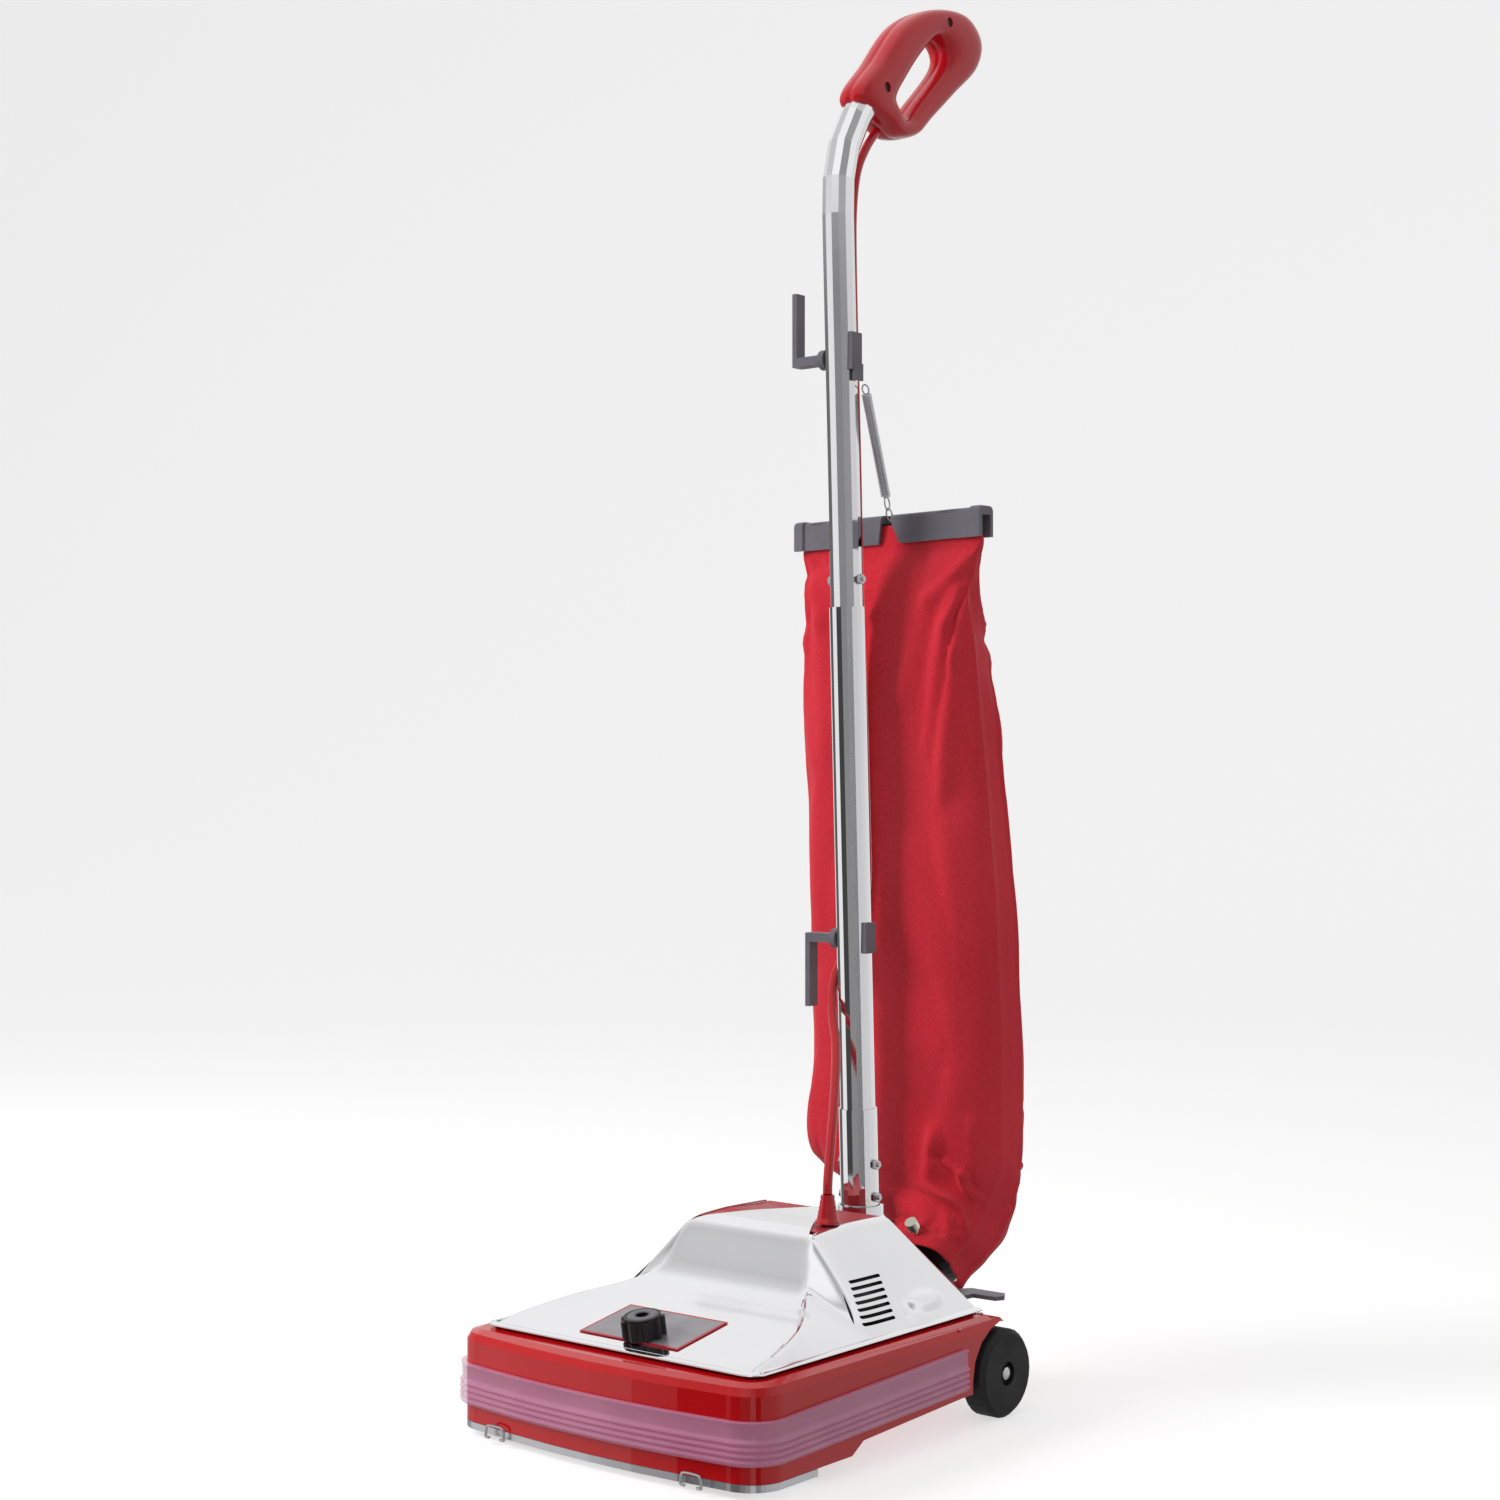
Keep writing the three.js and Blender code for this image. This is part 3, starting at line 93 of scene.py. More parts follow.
def unit(value):
    """A number held between 0 and 1."""
    return min(1, max(0, value))


def place(point):
    """A point in millimetres from the rear axle, as metres in the row frame."""
    x, y, z = point
    return Vector((x * MM, y * MM + AXLE_Y, z * MM))


# ---------- Meshes ----------
def mesh_object(name, verts, faces):
    """A mesh object from points in millimetres."""
    mesh = bpy.data.meshes.new(name)
    mesh.from_pydata([place(v) for v in verts], [], [tuple(int(i) for i in f) for f in faces])
    mesh.update()
    repair = bmesh.new()
    repair.from_mesh(mesh)
    bmesh.ops.recalc_face_normals(repair, faces=repair.faces)
    repair.to_mesh(mesh)
    repair.free()
    mesh.polygons.foreach_set("use_smooth", [True] * len(mesh.polygons))
    obj = bpy.data.objects.new(name, mesh)
    bpy.context.scene.collection.objects.link(obj)
    return obj


def grid_faces(rows, cols, wrap_rows=False, wrap_cols=True):
    """Quads over a grid of rows x cols points, closed in either direction."""
    faces = []
    for i in range(rows if wrap_rows else rows - 1):
        for j in range(cols if wrap_cols else cols - 1):
            i2, j2 = (i + 1) % rows, (j + 1) % cols
            faces.append((i * cols + j, i * cols + j2, i2 * cols + j2, i2 * cols + j))
    return faces


def loft(name, rings, capped=True, closed=False):
    """A skin over rings of the same number of points."""
    rings = np.asarray(rings, float)
    rows, cols = rings.shape[:2]
    faces = grid_faces(rows, cols, wrap_rows=closed)
    if capped and not closed:
        faces += [tuple(range(cols))[::-1], tuple((rows - 1) * cols + j for j in range(cols))]
    return mesh_object(name, rings.reshape(-1, 3), faces)


def catmull(points, steps, closed=False):
    """A smooth line through points, with steps pieces between each two."""
    p = np.asarray(points, float)
    if closed:
        ext = np.vstack([p[-1], p, p[0], p[1]])
        spans = len(p)
    else:
        ext = np.vstack([2 * p[0] - p[1], p, 2 * p[-1] - p[-2]])
        spans = len(p) - 1
    out = []
    for i in range(spans):
        a, b, c, d = ext[i:i + 4]
        for t in np.arange(steps) / steps:
            out.append(0.5 * (2 * b + (c - a) * t + (2 * a - 5 * b + 4 * c - d) * t ** 2
                              + (3 * b - a - 3 * c + d) * t ** 3))
    if not closed:
        out.append(p[-1])
    return np.array(out)


def frames_along(line, closed=False):
    """Two unit vectors across the line at each of its points, with no twist."""
    line = np.asarray(line, float)
    ahead = np.roll(line, -1, 0) - np.roll(line, 1, 0)
    if not closed:
        ahead[0], ahead[-1] = line[1] - line[0], line[-1] - line[-2]
    ahead /= np.linalg.norm(ahead, axis=1)[:, None]
    up = Vector((0, 0, 1)) if abs(ahead[0][2]) < 0.9 else Vector((1, 0, 0))
    side = Vector(ahead[0]).cross(up).normalized()
    sides = []
    for tangent in ahead:
        t = Vector(tangent)
        side = (side - t * side.dot(t)).normalized()
        sides.append((np.array(side), np.array(t.cross(side))))
    return sides


def hoop(centre, radius, u, v, sides):
    """A ring of points about centre, in the plane of the unit vectors u and v."""
    angles = np.arange(sides) * 2 * math.pi / sides
    return np.asarray(centre) + radius * (np.cos(angles)[:, None] * u + np.sin(angles)[:, None] * v)


def tube(name, line, radius, sides=16, closed=False):
    """A round tube along a line."""
    rings = [hoop(p, radius, u, v, sides) for p, (u, v) in zip(line, frames_along(line, closed))]
    return loft(name, rings, closed=closed)


def lathe(name, profile, origin, axis, sides=40):
    """A turned piece: profile holds (radius, height) along the axis from origin."""
    axis = Vector(axis).normalized()
    u = axis.orthogonal().normalized()
    v = axis.cross(u)
    rings = [hoop(np.array(origin) + height * np.array(axis), radius, np.array(u), np.array(v), sides)
             for radius, height in profile]
    return loft(name, rings, capped=False, closed=True)


def circle(across, up, radius, count):
    """A round outline."""
    return [(across + radius * math.cos(a), up + radius * math.sin(a))
            for a in np.linspace(0, 2 * math.pi, count, endpoint=False)]


def prism(name, outline, low, high, axis="z"):
    """An outline raised along an axis, used to cut openings."""
    order = {"z": (0, 1, 2), "x": (1, 2, 0), "y": (0, 2, 1)}[axis]
    rings = []
    for level in (low, high):
        ring = []
        for a, b in outline:
            point = [0, 0, 0]
            point[order[0]], point[order[1]], point[order[2]] = a, b, level
            ring.append(point)
        rings.append(ring)
    return loft(name, rings)


def apply_all(obj):
    """Makes the object's modifiers part of its mesh."""
    graph = bpy.context.evaluated_depsgraph_get()
    mesh = bpy.data.meshes.new_from_object(obj.evaluated_get(graph))
    obj.modifiers.clear()
    old, obj.data = obj.data, mesh
    bpy.data.meshes.remove(old)
    return obj


def subtract(obj, *cutters):
    """Cuts the cutters out of obj and removes them."""
    for cutter in cutters:
        modifier = obj.modifiers.new("cut", "BOOLEAN")
        modifier.operation, modifier.solver, modifier.object = "DIFFERENCE", "EXACT", cutter
    apply_all(obj)
    for cutter in cutters:
        bpy.data.objects.remove(cutter)
    return obj


def smooth_by_angle(obj, degrees):
    """Smooth shading with creases where faces meet at more than this angle."""
    mesh = obj.data
    mesh.polygons.foreach_set("use_smooth", [True] * len(mesh.polygons))
    work = bmesh.new()
    work.from_mesh(mesh)
    for edge in work.edges:
        edge.smooth = len(edge.link_faces) == 2 and edge.calc_face_angle(0) < math.radians(degrees)
    work.to_mesh(mesh)
    work.free()
    return obj


def soften(obj, width):
    """Rounds an object's sharp edges and evens out its shading, as modifiers on top of its mesh."""
    flat = obj.modifiers.new("merge_flats", "DECIMATE")
    flat.decimate_type, flat.angle_limit = "DISSOLVE", math.radians(0.6)
    if width:
        bevel = obj.modifiers.new("round_edges", "BEVEL")
        bevel.width, bevel.segments, bevel.limit_method = width * MM, 2, "ANGLE"
        bevel.angle_limit, bevel.use_clamp_overlap = math.radians(30), True
        bevel.harden_normals = False
    even = obj.modifiers.new("even_normals", "WEIGHTED_NORMAL")
    even.keep_sharp, even.weight = True, 50
    obj.data.polygons.foreach_set("use_smooth", [True] * len(obj.data.polygons))
    return obj


# ---------- Materials ----------
class Look:
    """A node material under construction."""

    def __init__(self, name, **sockets):
        self.material = bpy.data.materials.new(name)
        self.material.use_nodes = True
        self.tree = self.material.node_tree
        self.shader = self.tree.nodes["Principled BSDF"]
        for label, value in sockets.items():
            self.shader.inputs[label.replace("_", " ")].default_value = value
        self.where = self.add("ShaderNodeTexCoord").outputs["Object"]

    def add(self, kind, links=None, **settings):
        node = self.tree.nodes.new(kind)
        for key, value in settings.items():
            if key in node.inputs:
                node.inputs[key].default_value = value
            else:
                setattr(node, key, value)
        for key, source in (links or {}).items():
            self.tree.links.new(source, node.inputs[key])
        return node

    def noise(self, scale, detail=3):
        node = self.add("ShaderNodeTexNoise", {"Vector": self.where}, Scale=scale, Detail=detail)
        return node.outputs["Fac"]

    def ramp(self, source, stops):
        node = self.add("ShaderNodeValToRGB", {"Fac": source})
        elements = node.color_ramp.elements
        while len(elements) < len(stops):
            elements.new(0.5)
        for element, (position, value) in zip(elements, stops):
            element.position = position
            element.color = (value, value, value, 1) if isinstance(value, float) else (*value, 1)
        return node.outputs["Color"]

    def math(self, operation, a, b):
        node = self.add("ShaderNodeMath", operation=operation)
        for socket, value in zip(node.inputs, (a, b)):
            if isinstance(value, (int, float)):
                socket.default_value = value
            else:
                self.tree.links.new(value, socket)
        return node.outputs["Value"]

    def to(self, socket, source):
        self.tree.links.new(source, self.shader.inputs[socket])
        return self

    def bump(self, height, strength, distance):
        node = self.add("ShaderNodeBump", {"Height": height}, Strength=strength, Distance=distance)
        return self.to("Normal", node.outputs["Normal"])


def metal_look(name, colour, smooth, rough, wave=0.0):
    """Metal with smears in its polish and a faint unevenness."""
    look = Look(name, Metallic=1.0)
    smear = look.noise(14, 4)
    dark = tuple(c * 0.93 for c in colour)
    look.to("Base Color", look.ramp(look.noise(5), [(0.35, colour), (0.75, dark)]))
    look.to("Roughness", look.ramp(smear, [(0.3, smooth), (0.75, rough)]))
    return look.bump(look.noise(9 if wave else 900), 0.25, wave or 0.00004).material


def paint_look(name, colour, shade, rough, coat):
    """Glossy moulded or painted surface with a faint ripple and tiny shade changes."""
    look = Look(name, Coat_Weight=coat, Coat_Roughness=0.04, Specular_IOR_Level=0.3)
    look.to("Base Color", look.ramp(look.noise(4), [(0.35, colour), (0.7, shade)]))
    look.to("Roughness", look.ramp(look.noise(260), [(0.3, rough), (0.8, rough + 0.04)]))
    return look.bump(look.noise(700), 0.2, 0.00003).material


def plastic_look(name, colour, shade, rough, grain=900):
    """Moulded plastic with a fine grain and rubbed patches."""
    look = Look(name, IOR=1.46)
    look.to("Base Color", look.ramp(look.noise(18, 5), [(0.35, shade), (0.65, colour)]))
    look.to("Roughness", look.ramp(look.noise(35), [(0.35, rough), (0.7, rough + 0.18)]))
    return look.bump(look.noise(grain, 2), 0.35, 0.00012).material


def vinyl_look():
    """Translucent pink vinyl over the red base, a little cloudy."""
    look = Look("clear_vinyl", Alpha=0.46, IOR=1.5, Coat_Weight=0.8, Coat_Roughness=0.06)
    pink, deep = (0.92, 0.44, 0.68), (0.84, 0.36, 0.60)
    look.to("Base Color", look.ramp(look.noise(20), [(0.3, pink), (0.75, deep)]))
    look.to("Roughness", look.ramp(look.noise(40), [(0.3, 0.14), (0.7, 0.24)]))
    return look.bump(look.noise(70), 0.3, 0.0001).material


def fabric_look():
    """Plain weave: threads across and along the cloth, from its own flat coordinates."""
    look = Look("bag_fabric", Sheen_Weight=0.12, Sheen_Roughness=0.4)
    cloth = look.add("ShaderNodeUVMap", uv_map="cloth").outputs["UV"]
    threads = 4200
    split = look.add("ShaderNodeSeparateXYZ", {"Vector": cloth})
    across = look.math("SINE", look.math("MULTIPLY", split.outputs["X"], threads), 0)
    along = look.math("SINE", look.math("MULTIPLY", split.outputs["Y"], threads), 0)
    weave = look.math("MULTIPLY_ADD", look.math("MULTIPLY", across, along), 0.5)
    slub = look.noise(420, 2)
    patch = look.noise(7, 4)
    tone = look.math("ADD", look.math("MULTIPLY", slub, 0.55), look.math("MULTIPLY", patch, 0.45))
    look.to("Base Color", look.ramp(tone, [(0.36, (0.70, 0.018, 0.036)), (0.66, (0.86, 0.042, 0.066))]))
    look.to("Roughness", look.ramp(slub, [(0.3, 0.72), (0.7, 0.9)]))
    height = look.math("ADD", weave, look.math("MULTIPLY", slub, 0.8))
    return look.bump(height, 0.4, 0.0003).material


def label_look():
    """A grey plate with a thin red border, drawn from the plate's own place."""
    low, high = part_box("label_plate")
    middle, reach = (low + high) / 2, (high - low) / 2
    look = Look("label_plate", Metallic=0.4, Roughness=0.35)
    split = look.add("ShaderNodeSeparateXYZ", {"Vector": look.where})
    border, border_width = None, 0.0022
    for index, axis in enumerate("XY"):
        away = look.math("ABSOLUTE", look.math("SUBTRACT", split.outputs[axis], middle[index]), 0)
        outside = look.math("GREATER_THAN", away, reach[index] - border_width)
        border = outside if border is None else look.math("MAXIMUM", border, outside)
    tone = look.ramp(look.noise(60, 3), [(0.3, (0.30, 0.28, 0.30)), (0.7, (0.38, 0.36, 0.38))])
    mix = look.add("ShaderNodeMix", data_type="RGBA")
    look.tree.links.new(border, mix.inputs["Factor"])
    look.tree.links.new(tone, mix.inputs[6])
    mix.inputs[7].default_value = (0.55, 0.02, 0.04, 1)
    look.to("Base Color", mix.outputs[2])
    return look.bump(look.noise(500), 0.2, 0.00005).material


CHROME = metal_look("chrome", (0.90, 0.90, 0.92), 0.03, 0.09)
HOOD_CHROME = metal_look("hood_chrome", (0.91, 0.91, 0.925), 0.035, 0.10, wave=0.0006)
STEEL = metal_look("steel", (0.62, 0.62, 0.64), 0.22, 0.38)
NICKEL = metal_look("nickel", (0.80, 0.76, 0.66), 0.18, 0.34)
RED_GLOSS = paint_look("red_gloss", (0.68, 0.004, 0.008), (0.60, 0.003, 0.006), rough=0.12, coat=0.25)
RED_GRIP = paint_look("red_grip", (0.62, 0.008, 0.018), (0.54, 0.006, 0.014), rough=0.32, coat=0.35)
RED_SATIN = plastic_look("red_satin", (0.50, 0.010, 0.020), (0.42, 0.007, 0.015), rough=0.36)
RED_CABLE = paint_look("red_cable", (0.60, 0.008, 0.018), (0.52, 0.006, 0.014), rough=0.3, coat=0.5)
GREY = plastic_look("grey_plastic", (0.20, 0.19, 0.22), (0.16, 0.155, 0.18), rough=0.42)
BLACK = plastic_look("black_plastic", (0.018, 0.018, 0.020), (0.011, 0.011, 0.012), rough=0.38)
RUBBER = plastic_look("rubber", (0.016, 0.016, 0.017), (0.010, 0.010, 0.011), rough=0.62, grain=600)
BRISTLE = plastic_look("bristle", (0.03, 0.025, 0.02), (0.015, 0.012, 0.01), rough=0.8, grain=2500)
VINYL = vinyl_look()
FABRIC = fabric_look()
LABEL = label_look()


def coat(obj, look, slot=None):
    """Gives an object one material; the slot argument is not used."""
    obj.data.materials.clear()
    obj.data.materials.append(look)
    return obj


def cover_node(name, look, width):
    """A CAD node that stays in view, with its material and rounded edges."""
    soften(coat(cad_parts[name], look), width)


def stand_for(obj, body, look, slot, *nodes):
    """A new piece on a body, in place of CAD nodes."""
    coat(obj, look, slot)
    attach(obj, body)
    if nodes:
        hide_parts(*nodes)
    return obj


# ---------- CAD nodes that stay in view ----------
KEPT = [
    (RED_GLOSS, 1.2, ["base_housing"]),
    (RED_SATIN, 1.0, ["motor_cover"]),
    (CHROME, 0.6, ["handle_socket"]),
    (CHROME, 0.0, ["top_tube", "middle_tube", "lower_sleeve"]),
    (LABEL, 0.2, ["label_plate"]),
    (RUBBER, 1.6, ["wheel_left", "wheel_right"]),
    (RUBBER, 0.6, ["front_roller_left", "front_roller_right", "drive_belt"]),
    (STEEL, 0.4, ["nozzle_plate", "rear_axle", "roller_axle", "roller_carriage", "height_spindle", "stator",
                  "rotor_core", "motor_shaft", "drive_pulley", "brush_shaft", "pivot_pin", "pivot_bracket",
                  "pedal_bracket", "tube_bolt_socket", "tube_bolt_sleeve", "tube_bolt_top"]),
    (BLACK, 0.6, ["height_knob", "motor_housing", "motor_end_cap", "fan_chamber", "fan", "brush_end_left",
                  "brush_end_right", "exhaust_duct", "exhaust_collar", "switch_rocker", "grip_screw_rear",
                  "grip_screw_front"]),
    (GREY, 0.8, ["release_pedal", "cord_hook_upper", "cord_hook_lower", "hook_saddle_upper",
                 "hook_saddle_lower"]),
    (NICKEL, 0.4, ["neck_clamp"]),
    (RED_SATIN, 0.5, ["brush_roll"]),
    (BRISTLE, 0.0, ["bristle_row_left", "bristle_row_right"]),
]
for look, width, names in KEPT:
    for name in names:
        cover_node(name, look, width)


# ---------- Chrome hood ----------
def evenly(line, spacing, soften_by):
    """A polyline resampled at even steps and smoothed, with its ends kept."""
    line = np.asarray(line, float)
    along = np.concatenate([[0], np.cumsum(np.linalg.norm(np.diff(line, axis=0), axis=1))])
    steps = np.linspace(0, along[-1], int(along[-1] / spacing) + 1)
    fine = np.stack([np.interp(steps, along, line[:, k]) for k in range(line.shape[1])], axis=1)
    window = np.exp(-0.5 * ((steps[:, None] - steps[None]) / soften_by) ** 2)
    smooth = window @ fine / window.sum(1)[:, None]
    keep = np.clip(np.minimum(steps, along[-1] - steps) / (3 * soften_by), 0, 1)[:, None]
    return fine * (1 - keep) + smooth * keep


def bulge(spot, y, z):
    """How far a raised or sunken spot moves the hood's flank at a place on it."""
    return spot["out"] * math.exp(-(((y - spot["y"]) / spot["long"]) ** 2
                                    + ((z - spot["z"]) / spot["tall"]) ** 2) ** 2)


def hood_section(y, z_top, inset):
    """Left foot to right foot over the top, with rounded creases."""
    foot = HOOD["foot"]
    edge = np.interp(y, *zip(*HOOD_EDGE)) - inset
    corner = np.array([edge, z_top - inset])
    foot_point = np.array([HOOD["half"] - inset, foot])
    side = foot_point - corner
    length = np.linalg.norm(side)
    reach = min(HOOD["crease"], length * 0.45)
    start, end = corner - np.array([reach, 0]), corner + side / length * reach
    crown = [np.array([start[0] * t, z_top - inset]) for t in np.linspace(0, 1, 12, endpoint=False)]
    bend = [(1 - t) ** 2 * start + 2 * t * (1 - t) * corner + t * t * end for t in np.linspace(0, 1, 9)]
    across = np.array([-side[1], side[0]]) / length
    flank = []
    for t in np.linspace(0, 1, 27)[1:]:
        point = end + (foot_point - end) * t
        out = bulge(BLISTER, y, point[1]) + bulge(HOLLOW, y, point[1])
        flank.append((point, across * out * min(1, (1 - t) * 6)))
    right = [*crown, *bend, *(p + push for p, push in flank)]
    left = [np.array([-x, z]) for x, z in [*crown[1:], *bend, *(p for p, _ in flank)]][::-1]
    return left + right


def hood_shell():
    """The hood before its openings are cut: a bent sheet, shut at the front."""
    line = evenly(HOOD_LINE, 2.5, 5.0)
    outer = [[(x, y, z) for x, z in hood_section(y, top, 0)] for y, top in line]
    inner = [[(x, y, z) for x, z in hood_section(y, top, HOOD["sheet"])] for y, top in line]
    outer, inner = np.array(outer), np.array(inner)
    front, front_low = outer[0].copy(), inner[0].copy()
    front[:, 2] = front_low[:, 2] = HOOD["foot"]
    front_low[:, 1] += HOOD["sheet"]
    inner[0, :, 1] += HOOD["sheet"]
    rings = [front, *outer, *inner[::-1], front_low]
    rows, cols = len(rings), len(rings[0])
    faces = grid_faces(rows, cols, wrap_rows=True, wrap_cols=False)
    last = cols - 1
    for i in range(rows // 2 - 1):
        a, b, c, d = i, i + 1, rows - 2 - i, rows - 1 - i
        faces.append((a * cols, b * cols, c * cols, d * cols))
        faces.append((a * cols + last, d * cols + last, c * cols + last, b * cols + last))
    return mesh_object("hood_shell", np.array(rings).reshape(-1, 3), faces)


def slot_outline(y, z, length, height):
    """A slot with round ends, seen from the side."""
    r = height / 2
    ends = []
    for centre, start in ((y + length - r, -90), (y + r, 90)):
        for k in range(7):
            a = math.radians(start + k * 30)
            ends.append((centre + r * math.cos(a), z + r * math.sin(a)))
    return ends


def notch_outline():
    """What is left open behind the tongue of the hood's top, seen from above."""
    half, root, reach = NOTCH["half"], NOTCH["root"], NOTCH["tip"] - NOTCH["root"]
    tongue = []
    for a in np.linspace(0, math.pi, 41):
        across = math.copysign(abs(math.cos(a)) ** NOTCH["blunt"], math.cos(a))
        tongue.append((half * across, root + reach * abs(math.sin(a)) ** NOTCH["blunt"]))
    return [(half, 40), *tongue, (-half, 40)]


def slot_shade_plate(side):
    """A dark plate just inside the slots of one side: painted shade, standing in for the dark inside of the
    hood seen through the slots.
    """
    depth, count = HOOD["sheet"] + SLOT_SHADE["behind"], VENT["count"]
    corners = []
    for z, row in ((VENT["top"] + SLOT_SHADE["above"], 0), (VENT["top"] - count * VENT["pitch"], count)):
        y0 = VENT["front"] + row * VENT["step"] - SLOT_SHADE["margin"]
        for y in (y0, y0 + VENT["length"] + 2 * SLOT_SHADE["margin"]):
            top = np.interp(y, *zip(*HOOD_LINE))
            edge = np.interp(y, *zip(*HOOD_EDGE))
            share = (z - HOOD["foot"]) / (top - HOOD["foot"])
            corners.append((side * (HOOD["half"] + (edge - HOOD["half"]) * share - depth), y, z))
    inner = [(x - side * SLOT_SHADE["thick"], y, z) for x, y, z in corners]
    order = (0, 1, 3, 2)
    return loft(f"slot_shade_plate_{side + 1}", [[corners[i] for i in order], [inner[i] for i in order]])


def build_hood():
    hood = hood_shell()
    rear, lean, foot = HOOD["rear"], HOOD["lean"], HOOD["foot"]
    behind = [(rear - lean * (z - foot), z) for z in (60, 220)]
    cutters = [prism("cut_notch", notch_outline(), 140, 200),
               prism("cut_rear", [behind[0], (60, 60), (60, 220), behind[1]], -200, 200, "x")]
    for k in range(VENT["count"]):
        z, y = VENT["top"] - k * VENT["pitch"], VENT["front"] + k * VENT["step"]
        slot = slot_outline(y, z, VENT["length"], VENT["height"])
        cutters.append(prism(f"cut_vent_{k}", slot, 80, 200, "x"))
    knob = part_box("height_knob")
    cx, cy = (knob[0].x + knob[1].x) / 2 / MM, ((knob[0].y + knob[1].y) / 2 - AXLE_Y) / MM
    cutters.append(prism("cut_knob", circle(cx, cy, KNOB_HOLE, 24), 60, 130))
    subtract(hood, *cutters)
    smooth_by_angle(hood, 40)
    for side in (1, -1):
        # painted shade behind the vent slots
        stand_for(slot_shade_plate(side), "base", BLACK, "black_plastic")
    stand_for(hood, "base", HOOD_CHROME, "chrome", "hood")


def build_hood_rim():
    """The flange around the hood's foot, and the dark strip under it, which paints the shade in the gap
    between the hood and the base.
    """
    line = [(x, y, RIM_Z) for x, y in RIM_LEFT + [(-x, y) for x, y in RIM_LEFT[-2::-1]]]
    dense = []
    for a, b in zip(line, line[1:]):
        dense += [tuple(np.array(a) + (np.array(b) - np.array(a)) * t) for t in np.arange(0, 1, 0.25)]
    dense.append(line[-1])
    rings = []
    for i, p in enumerate(dense):
        a, b = dense[max(0, i - 1)], dense[min(len(dense) - 1, i + 1)]
        along = np.array(b[:2]) - np.array(a[:2])
        along /= np.linalg.norm(along)
        out = np.array([-along[1], along[0]])
        if out @ (np.array(p[:2]) - np.array([0, -150])) < 0:
            out = -out
        rings.append([(p[0] + out[0] * o, p[1] + out[1] * o, p[2] + h) for o, h in RIM_SECTION])
    # painted shade: a black block filling the gap under the rim
    gap_shade = prism("rim_gap_shade", RIM_GAP_SHADE, BODY["top"], RIM_Z)
    stand_for(gap_shade, "base", RUBBER, "rubber")
    rim = loft("hood_rim", rings)
    smooth_by_angle(rim, 50)
    stand_for(rim, "base", CHROME, "chrome")


build_hood()
build_hood_rim()


# ---------- Ribbed bumper ----------
def plan_line(rear):
    """The plan of the base from its right rear round the front to its left rear, as (point, normal)."""
    half, radius = BODY["half"], BODY["corner"]
    corner = BODY["front"] + BODY["bow"]
    line = [((half, y), (1, 0)) for y in np.linspace(rear, corner + radius, 30, endpoint=False)]
    for a in np.linspace(0, -90, 15):
        c, s = math.cos(math.radians(a)), math.sin(math.radians(a))
        line.append(((half - radius + radius * c, corner + radius + radius * s), (c, s)))
    start, control = half - radius, corner - 2 * BODY["bow"]
    for t in np.linspace(0, 1, 41)[1:-1]:
        x = start * (1 - t) ** 2 - start * t * t
        y = corner * (1 - t) ** 2 + 2 * t * (1 - t) * control + corner * t * t
        slope = np.array([-2 * start * (1 - t) - 2 * start * t, 2 * (1 - 2 * t) * (control - corner)])
        normal = np.array([slope[1], -slope[0]]) / np.linalg.norm(slope)
        normal = normal if normal[1] < 0 else -normal
        line.append(((x, y), tuple(normal)))
    mirrored = [((-p[0], p[1]), (-n[0], n[1])) for p, n in line[:45][::-1]]
    return line + mirrored


def bumper_profile():
    """(outward, share of height) around the strip's section: four ribs below a plain band."""
    gap, thick = BUMPER["gap"], BUMPER["thick"]
    face = gap + thick
    profile = [(gap, 0.0), (thick - 2.2, 0.0)]
    ribs, low, high = 4, 0.02, 0.60
    pitch = (high - low) / ribs
    for k in range(ribs):
        for t in np.linspace(0, 1, 9)[:-1]:
            profile.append((face - 2.4 + 2.3 * math.sin(math.pi * t) ** 0.8, low + pitch * (k + t)))
    profile += [(face - 2.4, 0.615), (face - 2.0, 0.66), (face - 2.0, 0.93), (face - 1.1, 0.955),
                (face - 1.1, 0.985), (face - 2.2, 1.0), (gap, 1.0)]
    return profile


def build_bumper():
    rings = []
    for (x, y), (nx, ny) in plan_line(BUMPER["rear"]):
        share = unit((y + 300) / (BUMPER["rear"] + 300))
        top = BUMPER["front_top"] + share * (BUMPER["rear_top"] - BUMPER["front_top"])
        low = BUMPER["front_low"] + share * (BUMPER["rear_low"] - BUMPER["front_low"])
        rings.append([(x + nx * o, y + ny * o, low + (top - low) * s) for o, s in bumper_profile()])
    strip = loft("bumper_ribs", rings)
    smooth_by_angle(strip, 60)
    stand_for(strip, "base", VINYL, "clear_vinyl", "bumper_strip")


build_bumper()


# ---------- Wire loops that hook the nozzle plate to the front ----------
def build_plate_clips():
    for name in ("left", "right"):
        low, high = (np.array(corner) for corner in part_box(f"plate_clip_{name}"))
        y = (low[1] - AXLE_Y) / MM + 1.2
        x0, x1 = low[0] / MM + 1.1, high[0] / MM - 1.1
        points = [(x0 + 4, y, 5.6), (x0, y, 5.8), (x0, y, 8), (x0 + 0.6, y, 12.5), (x0 + 3.4, y, 15.2),
                  (x1 - 3.4, y, 15.2), (x1 - 0.6, y, 12.5), (x1, y, 8), (x1, y, 5.8), (x1 - 4, y, 5.6)]
        loop = tube(f"plate_loop_{name}", catmull(points, 5), 1.1, sides=10)
        stand_for(loop, "base", STEEL, "steel", f"plate_clip_{name}")


build_plate_clips()


